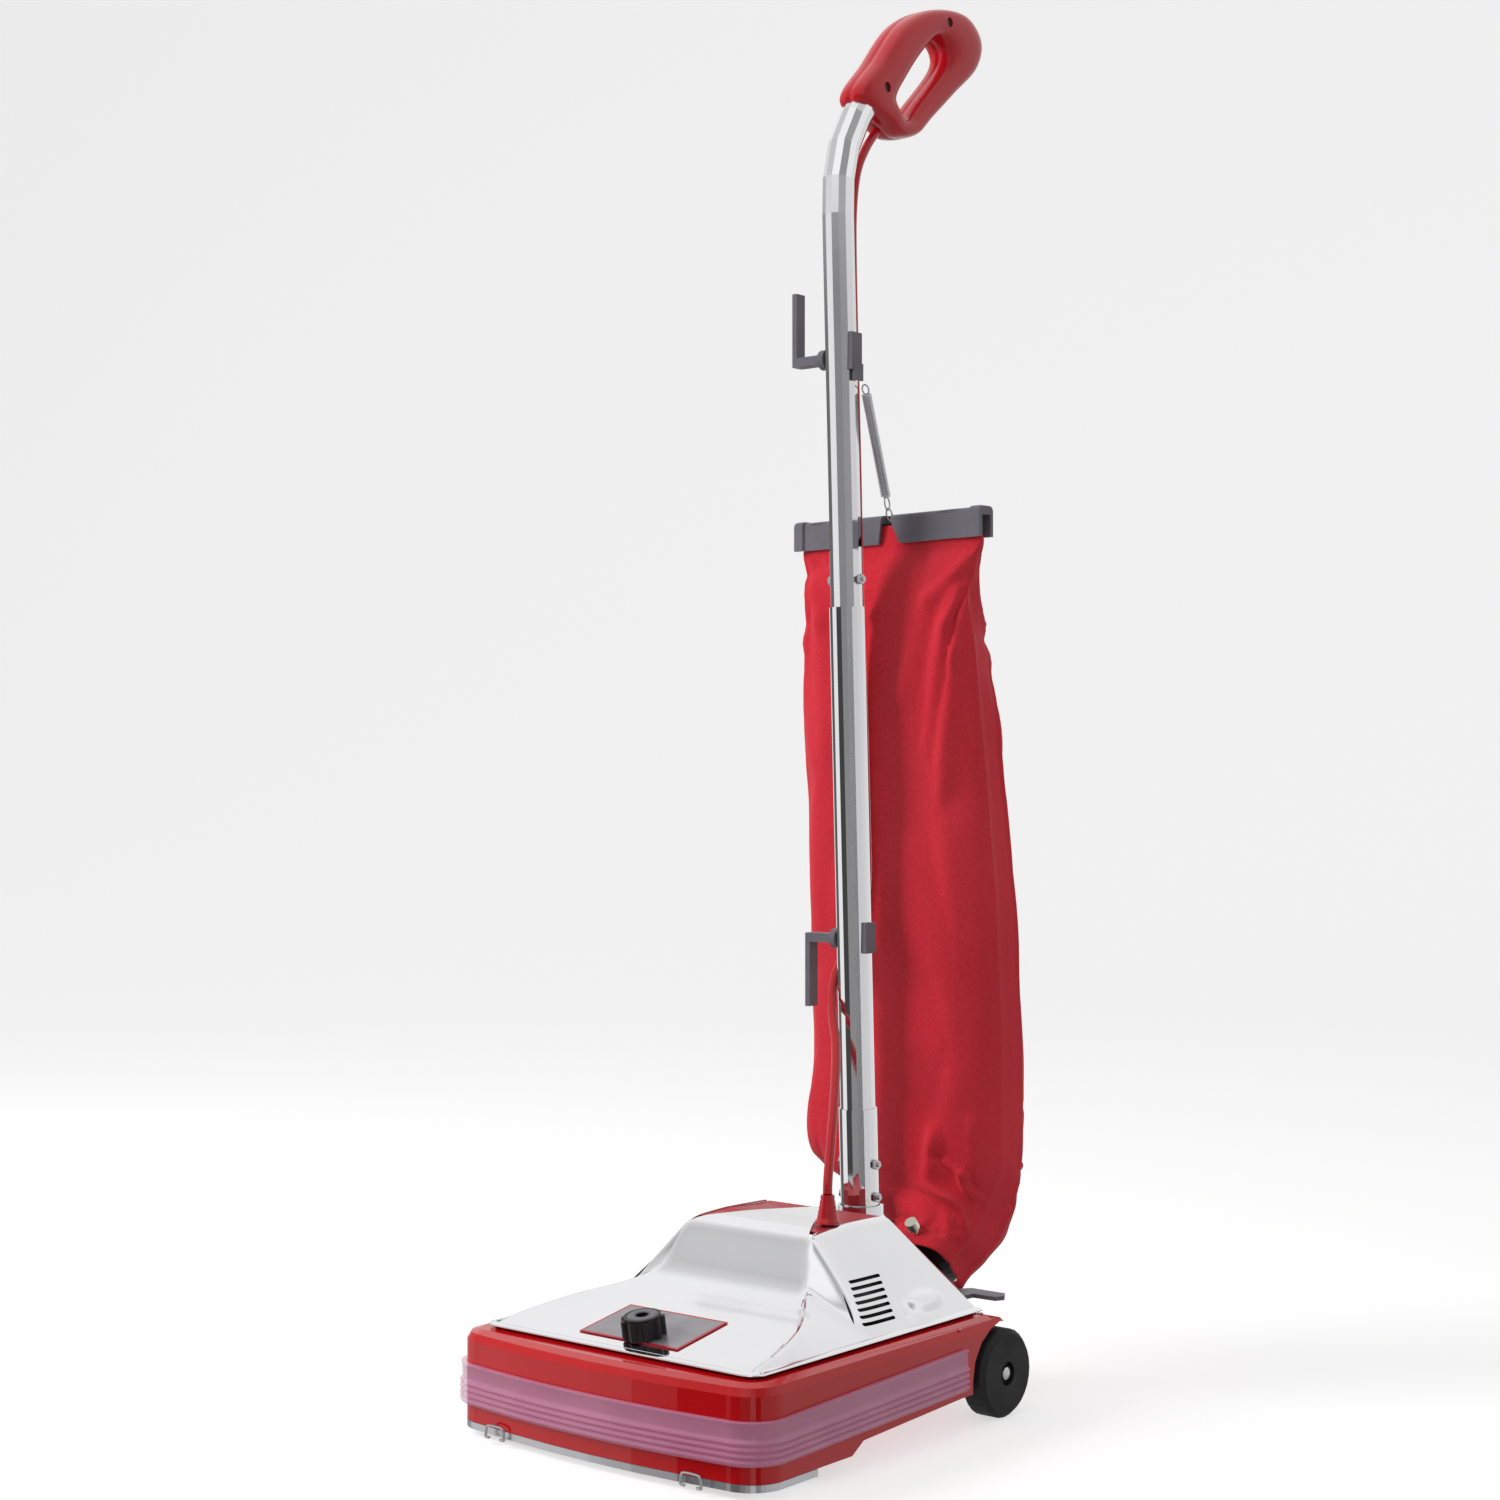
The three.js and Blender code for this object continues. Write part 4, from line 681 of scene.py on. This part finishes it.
# ---------- Grip: a rounded loop moulded in two halves ----------
GRIP_OUTER = [(3, 1142), (36, 1183), (73, 1224), (117, 1247), (169, 1254), (197, 1236), (190, 1208),
              (154, 1177), (116, 1145), (92, 1125), (64, 1118), (44, 1124)]
GRIP_LOOP = [(58, 1150), (75, 1176), (100, 1204), (121, 1221), (139, 1215), (136, 1198), (100, 1161),
             (72, 1136)]
GRIP_MATCH = [0.0, 0.75, 1.85, 2.8, 3.55, 4.3, 5.0, 5.75, 6.35, 6.85, 7.2, 7.6, 8.0]
GRIP_HALF = [19, 19, 19, 19, 18.5, 17.5, 16, 15, 15, 16, 17, 18.5, 19]
GRIP_SCREWS = [(35, 1155), (133, 1237)]
GRIP_SHARE = 0.62
GRIP_GROOVE = [-2.2, -0.8, 0.8, 2.2]  # degrees either side of the seam
GRIP_CUTS = dict(screw=4.5, screw_floor=14.2, rocker_floor=-12.5)
ROCKER = dict(y=67, z=1193, long=24, wide=13, turn=math.atan2(41, 37))


def build_grip():
    per = 8
    outer = catmull(GRIP_OUTER, per, closed=True)
    inner_fine = catmull(GRIP_LOOP, 60, closed=True)
    count = len(outer)
    stations = np.arange(count) / per
    match = np.interp(stations, np.arange(len(GRIP_MATCH)), GRIP_MATCH)
    halves = np.interp(stations, np.arange(len(GRIP_HALF)), GRIP_HALF)
    inner = inner_fine[np.round(match * 60).astype(int) % len(inner_fine)]
    angles = [*GRIP_GROOVE, *np.linspace(8, 172, 22)]
    angles += [*(180 + g for g in GRIP_GROOVE), *np.linspace(188, 352, 22)]
    rings = []
    for o, i, half in zip(outer, inner, halves):
        centre, arm = (o + i) / 2, (o - i) / 2
        ring = []
        for degrees in angles:
            a = math.radians(degrees)
            c, s = math.cos(a), math.sin(a)
            pinch = 0.6 / max(1, np.linalg.norm(arm)) if min(abs(degrees), abs(degrees - 180)) < 1.5 else 0
            u = math.copysign(abs(c) ** GRIP_SHARE, c) * (1 - pinch)
            v = math.copysign(abs(s) ** GRIP_SHARE, s)
            y, z = centre + arm * u
            ring.append((half * v, y, z))
        rings.append(ring)
    grip = loft("grip_shell", rings, closed=True)
    cutters = []
    for k, (y, z) in enumerate(GRIP_SCREWS):
        hole = circle(y, z, GRIP_CUTS["screw"], 28)
        cutters.append(prism(f"cut_screw_{k}", hole, GRIP_CUTS["screw_floor"], 60, "x"))
    c, s = math.cos(ROCKER["turn"]), math.sin(ROCKER["turn"])
    box = [(-1, -1), (1, -1), (1, 1), (-1, 1)]
    pocket = [(ROCKER["y"] + c * a * ROCKER["long"] / 2 - s * b * ROCKER["wide"] / 2,
               ROCKER["z"] + s * a * ROCKER["long"] / 2 + c * b * ROCKER["wide"] / 2) for a, b in box]
    cutters.append(prism("cut_rocker", pocket, -60, GRIP_CUTS["rocker_floor"], "x"))
    subtract(grip, *cutters)
    smooth_by_angle(grip, 38)
    stand_for(grip, "handle", RED_GRIP, "red_gloss", "grip_left", "grip_right")


build_grip()


# ---------- Raised ring on top of the height knob, and the caps on the ends of the rear axle ----------
KNOB = dict(tall=17, lean=(0, -0.1728, 0.98496), hole=6.2, rim=12.2)


def build_knob_ring():
    low, high = (np.array(corner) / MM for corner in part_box("height_knob"))
    centre = (low + high) / 2 - (0, AXLE_Y / MM, 0) + np.array(KNOB["lean"]) * KNOB["tall"] / 2
    hole, rim = KNOB["hole"], KNOB["rim"]
    profile = [(hole, -0.5), (rim, -0.5), (rim, 0.3), (rim - 0.8, 0.7), (hole + 0.8, 0.7), (hole, 0.3)]
    ring = lathe("knob_ring", profile, centre, KNOB["lean"])
    smooth_by_angle(ring, 50)
    stand_for(ring, "knob", GREY, "grey_plastic")


def build_axle_caps():
    low, high = (np.array(corner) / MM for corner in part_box("rear_axle"))
    for name, x, out in (("left", low[0], -1), ("right", high[0], 1)):
        centre = (x, 0, (low[2] + high[2]) / 2)
        radius = (high[2] - low[2]) / 2
        profile = [(0.01, 0.8), (radius * 0.6, 0.7), (radius + 1.2, 0.1), (radius + 1.6, -0.8),
                   (radius + 1.6, -2.2), (0.01, -2.2)]
        cap = lathe(f"axle_cap_{name}", profile, centre, (out, 0, 0), sides=28)
        smooth_by_angle(cap, 60)
        stand_for(cap, "base", STEEL, "steel")


build_knob_ring()
build_axle_caps()


# ---------- Spring, its hooks and the ring at the bag clip ----------
SPRING = dict(top=(17.2, tube_y(885) + 11, 883), foot=(9, 52, 768.5), wire=0.62, radius=3.9, pitch=1.6,
              start=0.06, end=0.82, hook_wire=0.75)
SPRING_STEPS = 14  # points in each turn


def build_spring():
    top, foot = np.array(SPRING["top"]), np.array(SPRING["foot"])
    axis = foot - top
    length = np.linalg.norm(axis)
    axis /= length
    u = np.cross(axis, (1, 0, 0))
    u /= np.linalg.norm(u)
    v = np.cross(axis, u)
    radius, start, end = SPRING["radius"], SPRING["start"], SPRING["end"]
    count = int((end - start) * length / SPRING["pitch"]) * SPRING_STEPS
    line = []
    for k in range(count + 1):
        a = 2 * math.pi * k / SPRING_STEPS
        along = (start + (end - start) * k / count) * length
        line.append(top + axis * along + radius * (math.cos(a) * u + math.sin(a) * v))
    coil = tube("bag_spring_coil", line, SPRING["wire"], sides=6)
    stand_for(coil, "handle", STEEL, "steel", "bag_spring")
    for name, low, high, reach in (("spring_top_hook", -0.01, 0.06, 3.4), ("spring_ring", 0.82, 0.92, 3.6),
                                   ("spring_foot_hook", 0.905, 1.0, 3.0)):
        centre = top + axis * length * (low + high) / 2
        tall = length * (high - low) / 2
        across = u if name == "spring_ring" else v
        loop = [centre + axis * tall * math.cos(a) + across * reach * math.sin(a)
                for a in np.linspace(0, 2 * math.pi, 28, endpoint=False)]
        hook = tube(name, loop, SPRING["hook_wire"], sides=8, closed=True)
        stand_for(hook, "handle", STEEL, "steel")


build_spring()


# ---------- Lead from the hood to the grip, held behind the tube ----------
LEAD = [
    (55, -101, 188.3), (54, -99, 202), (44, -81, 236), (27, -54, 272), (8, -28, 305), (-9, -11, 330),
    (-19, 4, 354), (-19, 19, 378), (-12, 29, 404), (-3, 32, 440), (0, 27.5, 500), (0, 23, 600),
    (0, 17.5, 700), (0, 14.4, 800), (0, 10.6, 900), (0, 7.5, 990), (0, 7.6, 1040), (0, 13.5, 1076),
    (0, 27, 1101), (0, 44, 1121),
]


def build_lead():
    lead = tube("lead_cable", catmull(LEAD, 8), 4.0, sides=16)
    coat(lead, RED_CABLE, "red_cable")
    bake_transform(lead)
    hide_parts("lead_cord")


build_lead()


def build_boot():
    """Ribbed cone that holds the lead in the hood."""
    low, high = (np.array(corner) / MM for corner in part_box("cord_boot"))
    centre = ((low[0] + high[0]) / 2, (low[1] + high[1]) / 2 - AXLE_Y / MM, low[2])
    tall = high[2] - low[2]
    profile = [(4.1, 0.0), (10.5, 0.0), (10.5, 2.0), (9.4, 3.0)]
    rise = np.linspace(0.16, 0.9, 10)
    profile += [(9.4 - 4.2 * t + 0.35 * (k % 2), tall * t) for k, t in enumerate(rise)]
    profile += [(6.0, tall * 0.92), (5.9, tall * 0.985), (4.9, tall), (4.1, tall)]
    boot = lathe("cord_boot_cone", profile, centre, (0, 0, 1))
    smooth_by_angle(boot, 50)
    stand_for(boot, "base", RED_CABLE, "red_cable", "cord_boot")


build_boot()


# ---------- Clip that closes the top of the bag ----------
CLIP = dict(half=109, low=747, top=773, thick=8.2, wall=2.6, cap=11, turn=-4.0)
CLIP_GAP = [(-10, 740), (-7, 750), (-3, 780), (4, 780), (9, 762), (16, 749), (19, 740)]  # across, up


def build_clip():
    low, high = (np.array(corner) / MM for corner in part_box("bag_clip"))
    middle = ((low[0] + high[0]) / 2, (low[1] + high[1]) / 2 - AXLE_Y / MM)
    rings = []
    half, cap, bottom, roof = CLIP["half"], CLIP["cap"], CLIP["low"], CLIP["top"] - 7
    right = [(half - cap - 1.5, 0.0), (half - cap, 2.0), (half - 2, 2.0), (half, 1.2)]  # across, swell
    for across, swell in [(-x, swell) for x, swell in right[::-1]] + right:
        out, top, wall = CLIP["thick"] + swell, CLIP["top"] + swell * 0.5, CLIP["thick"] - CLIP["wall"]
        section = [(-out, bottom), (-out, top - 4), (-out + 1.2, top - 1.2), (-out + 4, top),
                   (out - 4, top), (out - 1.2, top - 1.2), (out, top - 4), (out, bottom),
                   (wall, bottom), (wall, roof), (-wall, roof), (-wall, bottom)]
        rings.append([(across, y, z) for y, z in section])
    clip = loft("bag_clip_channel", rings)
    cutters = [prism("cut_gap", CLIP_GAP, -30, 0, "y")]
    for start, end in ((56, 92), (-92, -60)):
        lens = [(start + (end - start) * t, -CLIP["thick"] - 0.6 + 4.2 * math.sin(math.pi * t))
                for t in np.linspace(0, 1, 15)]
        cutters.append(prism("cut_finger", lens + [(end, -20), (start, -20)], CLIP["top"] - 3.5, 790))
    subtract(clip, *cutters)
    clip.data.transform(Matrix.Translation((0, -AXLE_Y, 0)))
    clip.data.transform(Matrix.Rotation(math.radians(CLIP["turn"]), 4, "Z"))
    clip.data.transform(Matrix.Translation((middle[0] * MM, AXLE_Y + middle[1] * MM, 0)))
    soften(clip, 0.8)
    stand_for(clip, "handle", GREY, "grey_plastic", "bag_clip")


build_clip()


# ---------- Cloth bag ----------
BAG_RINGS = [  # x, y, z, half width, half depth, tip about X, turn about Z in degrees
    (64, 24.5, 108.5, 32.5, 32.5, 0.855, 0),
    (64, 38, 120, 33.5, 33.5, 0.855, 0),
    (62, 51, 131, 41, 37, 0.75, 0),
    (43, 73, 149, 64, 43, 0.48, -1.7),
    (18, 86, 174, 97, 43, 0.15, -4),
    (10, 89, 203, 112, 43, 0, -4),
    (10, 89, 285, 113, 43, 0, -4),
    (11, 83, 380, 113, 40, 0, -4),
    (10, 75, 500, 112, 35, 0, -4),
    (9, 66, 600, 112, 29, 0, -4),
    (9, 59, 690, 111, 19, 0, -4),
    (9, 53, 740, 106, 6, 0, -4),
    (9, 52, 764, 98, 3, 0, -4),
]
BAG_SHARE = 0.55
BAG_AROUND = 144
BAG_STEPS = 13
SEAM = dict(inset=12, ridge=2.0, width=2.4)
GUSSET = dict(low=420, high=735, fold=26, middle=5, reach=15)
CREASES = [  # across, up to across, up; half width; height outward, on the front of the bag
    (106, 742, 60, 692, 9, 6.0),
    (60, 692, 34, 610, 12, 5.0),
    (112, 730, 80, 668, 6, -4.5),
    (80, 668, 58, 560, 9, -4.0),
    (104, 716, 88, 640, 6, 4.5),
    (88, 640, 76, 520, 9, 3.0),
    (-4, 744, -24, 700, 7, 5.0),
    (-24, 700, -36, 590, 11, 3.5),
    (10, 742, 2, 680, 7, -4.0),
    (2, 680, -8, 590, 10, -3.0),
    (-92, 742, -66, 676, 9, 5.0),
    (-66, 676, -58, 560, 12, 3.0),
    (40, 470, 74, 330, 22, 3.0),
    (66, 208, 94, 190, 4, -6.0),
    (92, 190, 76, 140, 5, -8.0),
    (64, 224, 48, 128, 8, 8.0),
    (104, 236, 98, 168, 7, 5.0),
    (30, 250, 44, 150, 12, 4.0),
]
CLOTH = dict(frames=20, quality=6, mass=0.25, stretch=15, bend=0.3, pressure=4.0, slack=0.02, most=7.0,
             held_above=738, held_below=138)


def crease_height(across, up, front):
    """How far the pulled creases lift the cloth at a place on it, in millimetres."""
    height = 0.0
    for x0, z0, x1, z1, width, lift in CREASES:
        run, rise = x1 - x0, z1 - z0
        share = ((across - x0) * run + (up - z0) * rise) / (run * run + rise * rise)
        nearest = unit(share)
        away = math.hypot(across - x0 - run * nearest, up - z0 - rise * nearest)
        height += lift * math.exp(-(away / width) ** 2)
    return height * (1 if front else 0.6)


def bag_stand(across, up, front):
    """How far the cloth stands out from its smooth shape, in millimetres."""
    high = unit((up - 180) / 560)
    fade = unit((up - 125) / 30) * unit((756 - up) / 40)
    drift = 9 * math.sin(up / 130)
    folds = 1.6 * math.sin((across + drift) / 15) * (0.15 + 0.85 * high)
    folds += 1.2 * math.sin((across - 0.35 * up) / 21 + 1)
    pull = noise.noise(Vector((across / 60, up / 90, 3 if front else 9)))
    return fade * (folds * (1 if front else 0.6) + 3.5 * pull + crease_height(across, up, front))


def bag_point(angle, half, depth, up):
    """One point of the bag's section, as (across, back) from the section's middle."""
    c, s = math.cos(angle), math.sin(angle)
    across = half * math.copysign(abs(c) ** BAG_SHARE, c)
    back = depth * math.copysign(abs(s) ** BAG_SHARE, s)
    flatness = min(1, depth / 20)
    seam = min(SEAM["inset"], 0.6 * depth)
    near = min(abs(back + seam), abs(back - seam - 6)) / SEAM["width"]
    across += math.copysign(SEAM["ridge"] * math.exp(-near * near) * flatness, c) * (abs(c) > 0.4)
    share = unit((up - GUSSET["low"]) / (GUSSET["high"] - GUSSET["low"]))
    valley = math.exp(-((back - GUSSET["middle"] * flatness) / (GUSSET["reach"] * flatness + 1)) ** 4)
    if abs(c) > 0.4:
        across -= math.copysign(GUSSET["fold"] * share ** 1.3 * valley * unit((depth - 5) / 13), c)
    stand = bag_stand(across, up, s < 0) * flatness * (0.2 + 0.8 * abs(s) ** 0.5)
    return across, back + math.copysign(stand, s)


def bag_rings():
    """The bag's rings of points, from its neck up to its clip."""
    rings = catmull(BAG_RINGS, BAG_STEPS)
    shape = []
    for x0, y0, z0, half, depth, tip, degrees in rings:
        turn = math.radians(degrees)
        ring = []
        for angle in np.arange(BAG_AROUND) * 2 * math.pi / BAG_AROUND:
            across, back = bag_point(angle, half, depth, z0)
            y1, z1 = back * math.cos(tip), -back * math.sin(tip)
            x2 = across * math.cos(turn) - y1 * math.sin(turn)
            y2 = across * math.sin(turn) + y1 * math.cos(turn)
            ring.append((x0 + x2, y0 + y2, z0 + z1))
        shape.append(ring)
    return shape


def flatten_cloth(bag, rows, girth=0.58, tall=0.68):
    """Flat coordinates of the cloth, in metres, for its weave."""
    layer = bag.data.uv_layers.new(name="cloth")
    for polygon in bag.data.polygons:
        cols = [bag.data.loops[i].vertex_index % BAG_AROUND for i in polygon.loop_indices]
        wraps = max(cols) - min(cols) > 1
        for i in polygon.loop_indices:
            row, col = divmod(bag.data.loops[i].vertex_index, BAG_AROUND)
            if wraps and col == 0:
                col = BAG_AROUND
            layer.data[i].uv = (girth * col / BAG_AROUND, tall * row / rows)


def settle_cloth(bag):
    """Lets the slack cloth wrinkle under a little air pressure, held at its clip and at its neck."""
    points = bag.data.vertices
    held = bag.vertex_groups.new(name="held")
    high, low = CLOTH["held_above"] * MM, CLOTH["held_below"] * MM
    held.add([v.index for v in points if v.co.z > high or v.co.z < low], 1.0, "REPLACE")
    before = np.array([v.co for v in points])
    cloth = bag.modifiers.new("cloth", "CLOTH")
    settings = cloth.settings
    settings.quality, settings.mass = CLOTH["quality"], CLOTH["mass"]
    settings.vertex_group_mass = held.name
    settings.tension_stiffness = settings.compression_stiffness = CLOTH["stretch"]
    settings.bending_stiffness = CLOTH["bend"]
    settings.shrink_min = -CLOTH["slack"]
    settings.use_pressure, settings.uniform_pressure_force = True, CLOTH["pressure"]
    settings.effector_weights.gravity = 0
    cloth.collision_settings.use_collision = False
    cloth.collision_settings.use_self_collision = False
    for number in range(1, CLOTH["frames"] + 1):
        bpy.context.scene.frame_set(number)
    settled = bag.evaluated_get(bpy.context.evaluated_depsgraph_get())
    move = np.array([v.co for v in settled.to_mesh().vertices]) - before
    settled.to_mesh_clear()
    bag.modifiers.remove(cloth)
    bag.vertex_groups.remove(held)
    bpy.context.scene.frame_set(1)
    length = np.linalg.norm(move, axis=1, keepdims=True)
    most = CLOTH["most"] * MM
    move *= most * np.tanh(length / most) / np.maximum(length, 1e-9)
    points.foreach_set("co", (before + move).ravel())
    bag.data.update()


def build_bag():
    shape = bag_rings()
    bag = loft("bag_cloth", shape, capped=False)
    flatten_cloth(bag, len(shape))
    settle_cloth(bag)
    thick = bag.modifiers.new("cloth_thickness", "SOLIDIFY")
    thick.thickness, thick.offset = 1.2 * MM, -1
    apply_all(bag)
    coat(bag, FABRIC, "fabric")
    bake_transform(bag)
    bag.visible_glossy = False
    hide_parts("dust_bag")


build_bag()


# ---------- Stage, lights and camera ----------
AIR_BANDS = [  # azimuth in degrees, brightness
    (-180, 0.05), (-170, 0.75), (-128, 0.95), (-120, 0.06), (-84, 0.05), (-78, 0.25), (-56, 0.3),
    (-50, 0.95), (-40, 0.95), (-36, 0.05), (-27, 0.07), (-21, 0.6), (60, 0.72), (124, 0.85), (140, 0.8),
    (168, 0.5), (180, 0.05),
]
AIR_ABOVE = [  # the same, higher up
    (-180, 0.70), (-150, 0.58), (-110, 0.66), (-84, 1.0), (-60, 1.0), (-30, 0.3), (-8, 0.35), (20, 0.9),
    (70, 0.80), (110, 0.90), (150, 0.93), (180, 0.70),
]
AIR_HEIGHTS = [(0.0, 0.5), (0.30, 0.4), (0.56, 0.55), (0.68, 0.8), (1.0, 0.95)]  # from below to above
DOME = dict(radius=5.5, glow=0.30)
FLOOR = dict(radius=3.2, bend=1.2, top=5.0, sides=72, glow=0.62)
LIGHTS = [  # name, place, target, size, power
    ("key_light", (-1.7, -1.5, 1.6), (0, 0, 0.6), (1.0, 1.3), 42),
    ("fill_light", (2.0, -0.6, 1.4), (0, 0, 0.5), (1.2, 1.6), 4),
    ("top_light", (0, 0.2, 2.8), (0, 0, 0), (1.6, 1.6), 8),
]
CAMERA = dict(lens=58.06, sensor=36, spot=(1.2927, -1.6391, 0.535), tip=90.71, turn=39.4)


def studio():
    """A pale floor that curves up into a wall all round."""
    radius, bend, sides = FLOOR["radius"], FLOOR["bend"], FLOOR["sides"]
    profile = [(radius, 0.0)]
    profile += [(radius + bend * math.sin(a), bend - bend * math.cos(a))
                for a in np.radians(np.arange(10, 91, 10))]
    profile += [(radius + bend, FLOOR["top"])]
    verts = [(0, 0, 0)]
    for out, height in profile:
        verts += [(out * math.cos(a), out * math.sin(a), height)
                  for a in np.arange(sides) * 2 * math.pi / sides]
    faces = [(0, 1 + j, 1 + (j + 1) % sides) for j in range(sides)]
    for i in range(len(profile) - 1):
        for j in range(sides):
            a, b = 1 + i * sides + j, 1 + i * sides + (j + 1) % sides
            faces.append((a, a + sides, b + sides, b))
    mesh = bpy.data.meshes.new("studio_floor")
    mesh.from_pydata(verts, [], faces)
    mesh.polygons.foreach_set("use_smooth", [True] * len(mesh.polygons))
    floor = bpy.data.objects.new("studio_floor", mesh)
    bpy.context.scene.collection.objects.link(floor)
    pale = Look("studio_pale", Roughness=0.9, Emission_Strength=FLOOR["glow"], Emission_Color=(1, 1, 1, 1),
                Base_Color=(0.6, 0.6, 0.6, 1))
    coat(floor, pale.material)
    floor.visible_glossy = floor.visible_diffuse = False


def soft_dome():
    """An even glow from all around that only matt surfaces see."""
    mesh = bpy.data.meshes.new("soft_dome")
    ball = bmesh.new()
    bmesh.ops.create_icosphere(ball, subdivisions=4, radius=DOME["radius"])
    ball.to_mesh(mesh)
    ball.free()
    dome = bpy.data.objects.new("soft_dome", mesh)
    bpy.context.scene.collection.objects.link(dome)
    glow = Look("soft_glow", Emission_Strength=DOME["glow"], Emission_Color=(1, 1, 1, 1),
                Base_Color=(0, 0, 0, 1))
    coat(dome, glow.material)
    dome.visible_camera = dome.visible_glossy = dome.visible_transmission = dome.visible_shadow = False


def studio_air():
    """What polished surfaces mirror: a bright tent with soft upright bands around the horizon."""
    world = bpy.data.worlds.new("studio_air")
    world.use_nodes = True
    tree = world.node_tree
    back = tree.nodes["Background"]
    where = tree.nodes.new("ShaderNodeTexCoord").outputs["Generated"]

    def ramp(source, stops):
        node = tree.nodes.new("ShaderNodeValToRGB")
        tree.links.new(source, node.inputs["Fac"])
        while len(node.color_ramp.elements) < len(stops):
            node.color_ramp.elements.new(0.5)
        for element, (position, value) in zip(node.color_ramp.elements, stops):
            element.position, element.color = position, (value, value, value, 1)
        return node.outputs["Color"]

    split = tree.nodes.new("ShaderNodeSeparateXYZ")
    tree.links.new(where, split.inputs["Vector"])
    turn = tree.nodes.new("ShaderNodeTexGradient")
    turn.gradient_type = "RADIAL"
    tree.links.new(where, turn.inputs["Vector"])
    bands = ramp(turn.outputs["Fac"], [(azimuth / 360 + 0.5, value) for azimuth, value in AIR_BANDS])
    lift = tree.nodes.new("ShaderNodeMapRange")
    lift.inputs["From Min"].default_value, lift.inputs["From Max"].default_value = -1, 1
    tree.links.new(split.outputs["Z"], lift.inputs["Value"])
    height = ramp(lift.outputs["Result"], AIR_HEIGHTS)
    above = ramp(turn.outputs["Fac"], [(azimuth / 360 + 0.5, value) for azimuth, value in AIR_ABOVE])
    colour = height
    for layer, reach in ((above, [(0.58, 0.0), (0.66, 1.0), (0.92, 1.0), (1.0, 0.4)]),
                         (bands, [(0.28, 0.0), (0.36, 1.0), (0.57, 1.0), (0.66, 0.0)])):
        mix = tree.nodes.new("ShaderNodeMix")
        mix.data_type = "RGBA"
        for source, socket in ((ramp(lift.outputs["Result"], reach), 0), (colour, 6), (layer, 7)):
            tree.links.new(source, mix.inputs[socket])
        colour = mix.outputs[2]
    tree.links.new(colour, back.inputs["Color"])
    back.inputs["Strength"].default_value = 1.0
    bpy.context.scene.world = world


def area_light(name, spot, target, size, power):
    data = bpy.data.lights.new(name, "AREA")
    data.shape, data.size, data.size_y = "RECTANGLE", size[0], size[1]
    data.energy = power
    light = bpy.data.objects.new(name, data)
    light.location = spot
    light.rotation_euler = (Vector(target) - Vector(spot)).to_track_quat("-Z", "Y").to_euler()
    bpy.context.scene.collection.objects.link(light)
    light.visible_camera = light.visible_glossy = False


def camera():
    data = bpy.data.cameras.new("camera")
    data.lens, data.sensor_width = CAMERA["lens"], CAMERA["sensor"]
    view = bpy.data.objects.new("camera", data)
    view.location = CAMERA["spot"]
    view.rotation_euler = (math.radians(CAMERA["tip"]), 0, math.radians(CAMERA["turn"]))
    bpy.context.scene.collection.objects.link(view)
    bpy.context.scene.camera = view


studio()
soft_dome()
studio_air()
for light in LIGHTS:
    area_light(*light)
camera()
bpy.context.scene.view_settings.view_transform = "Standard"
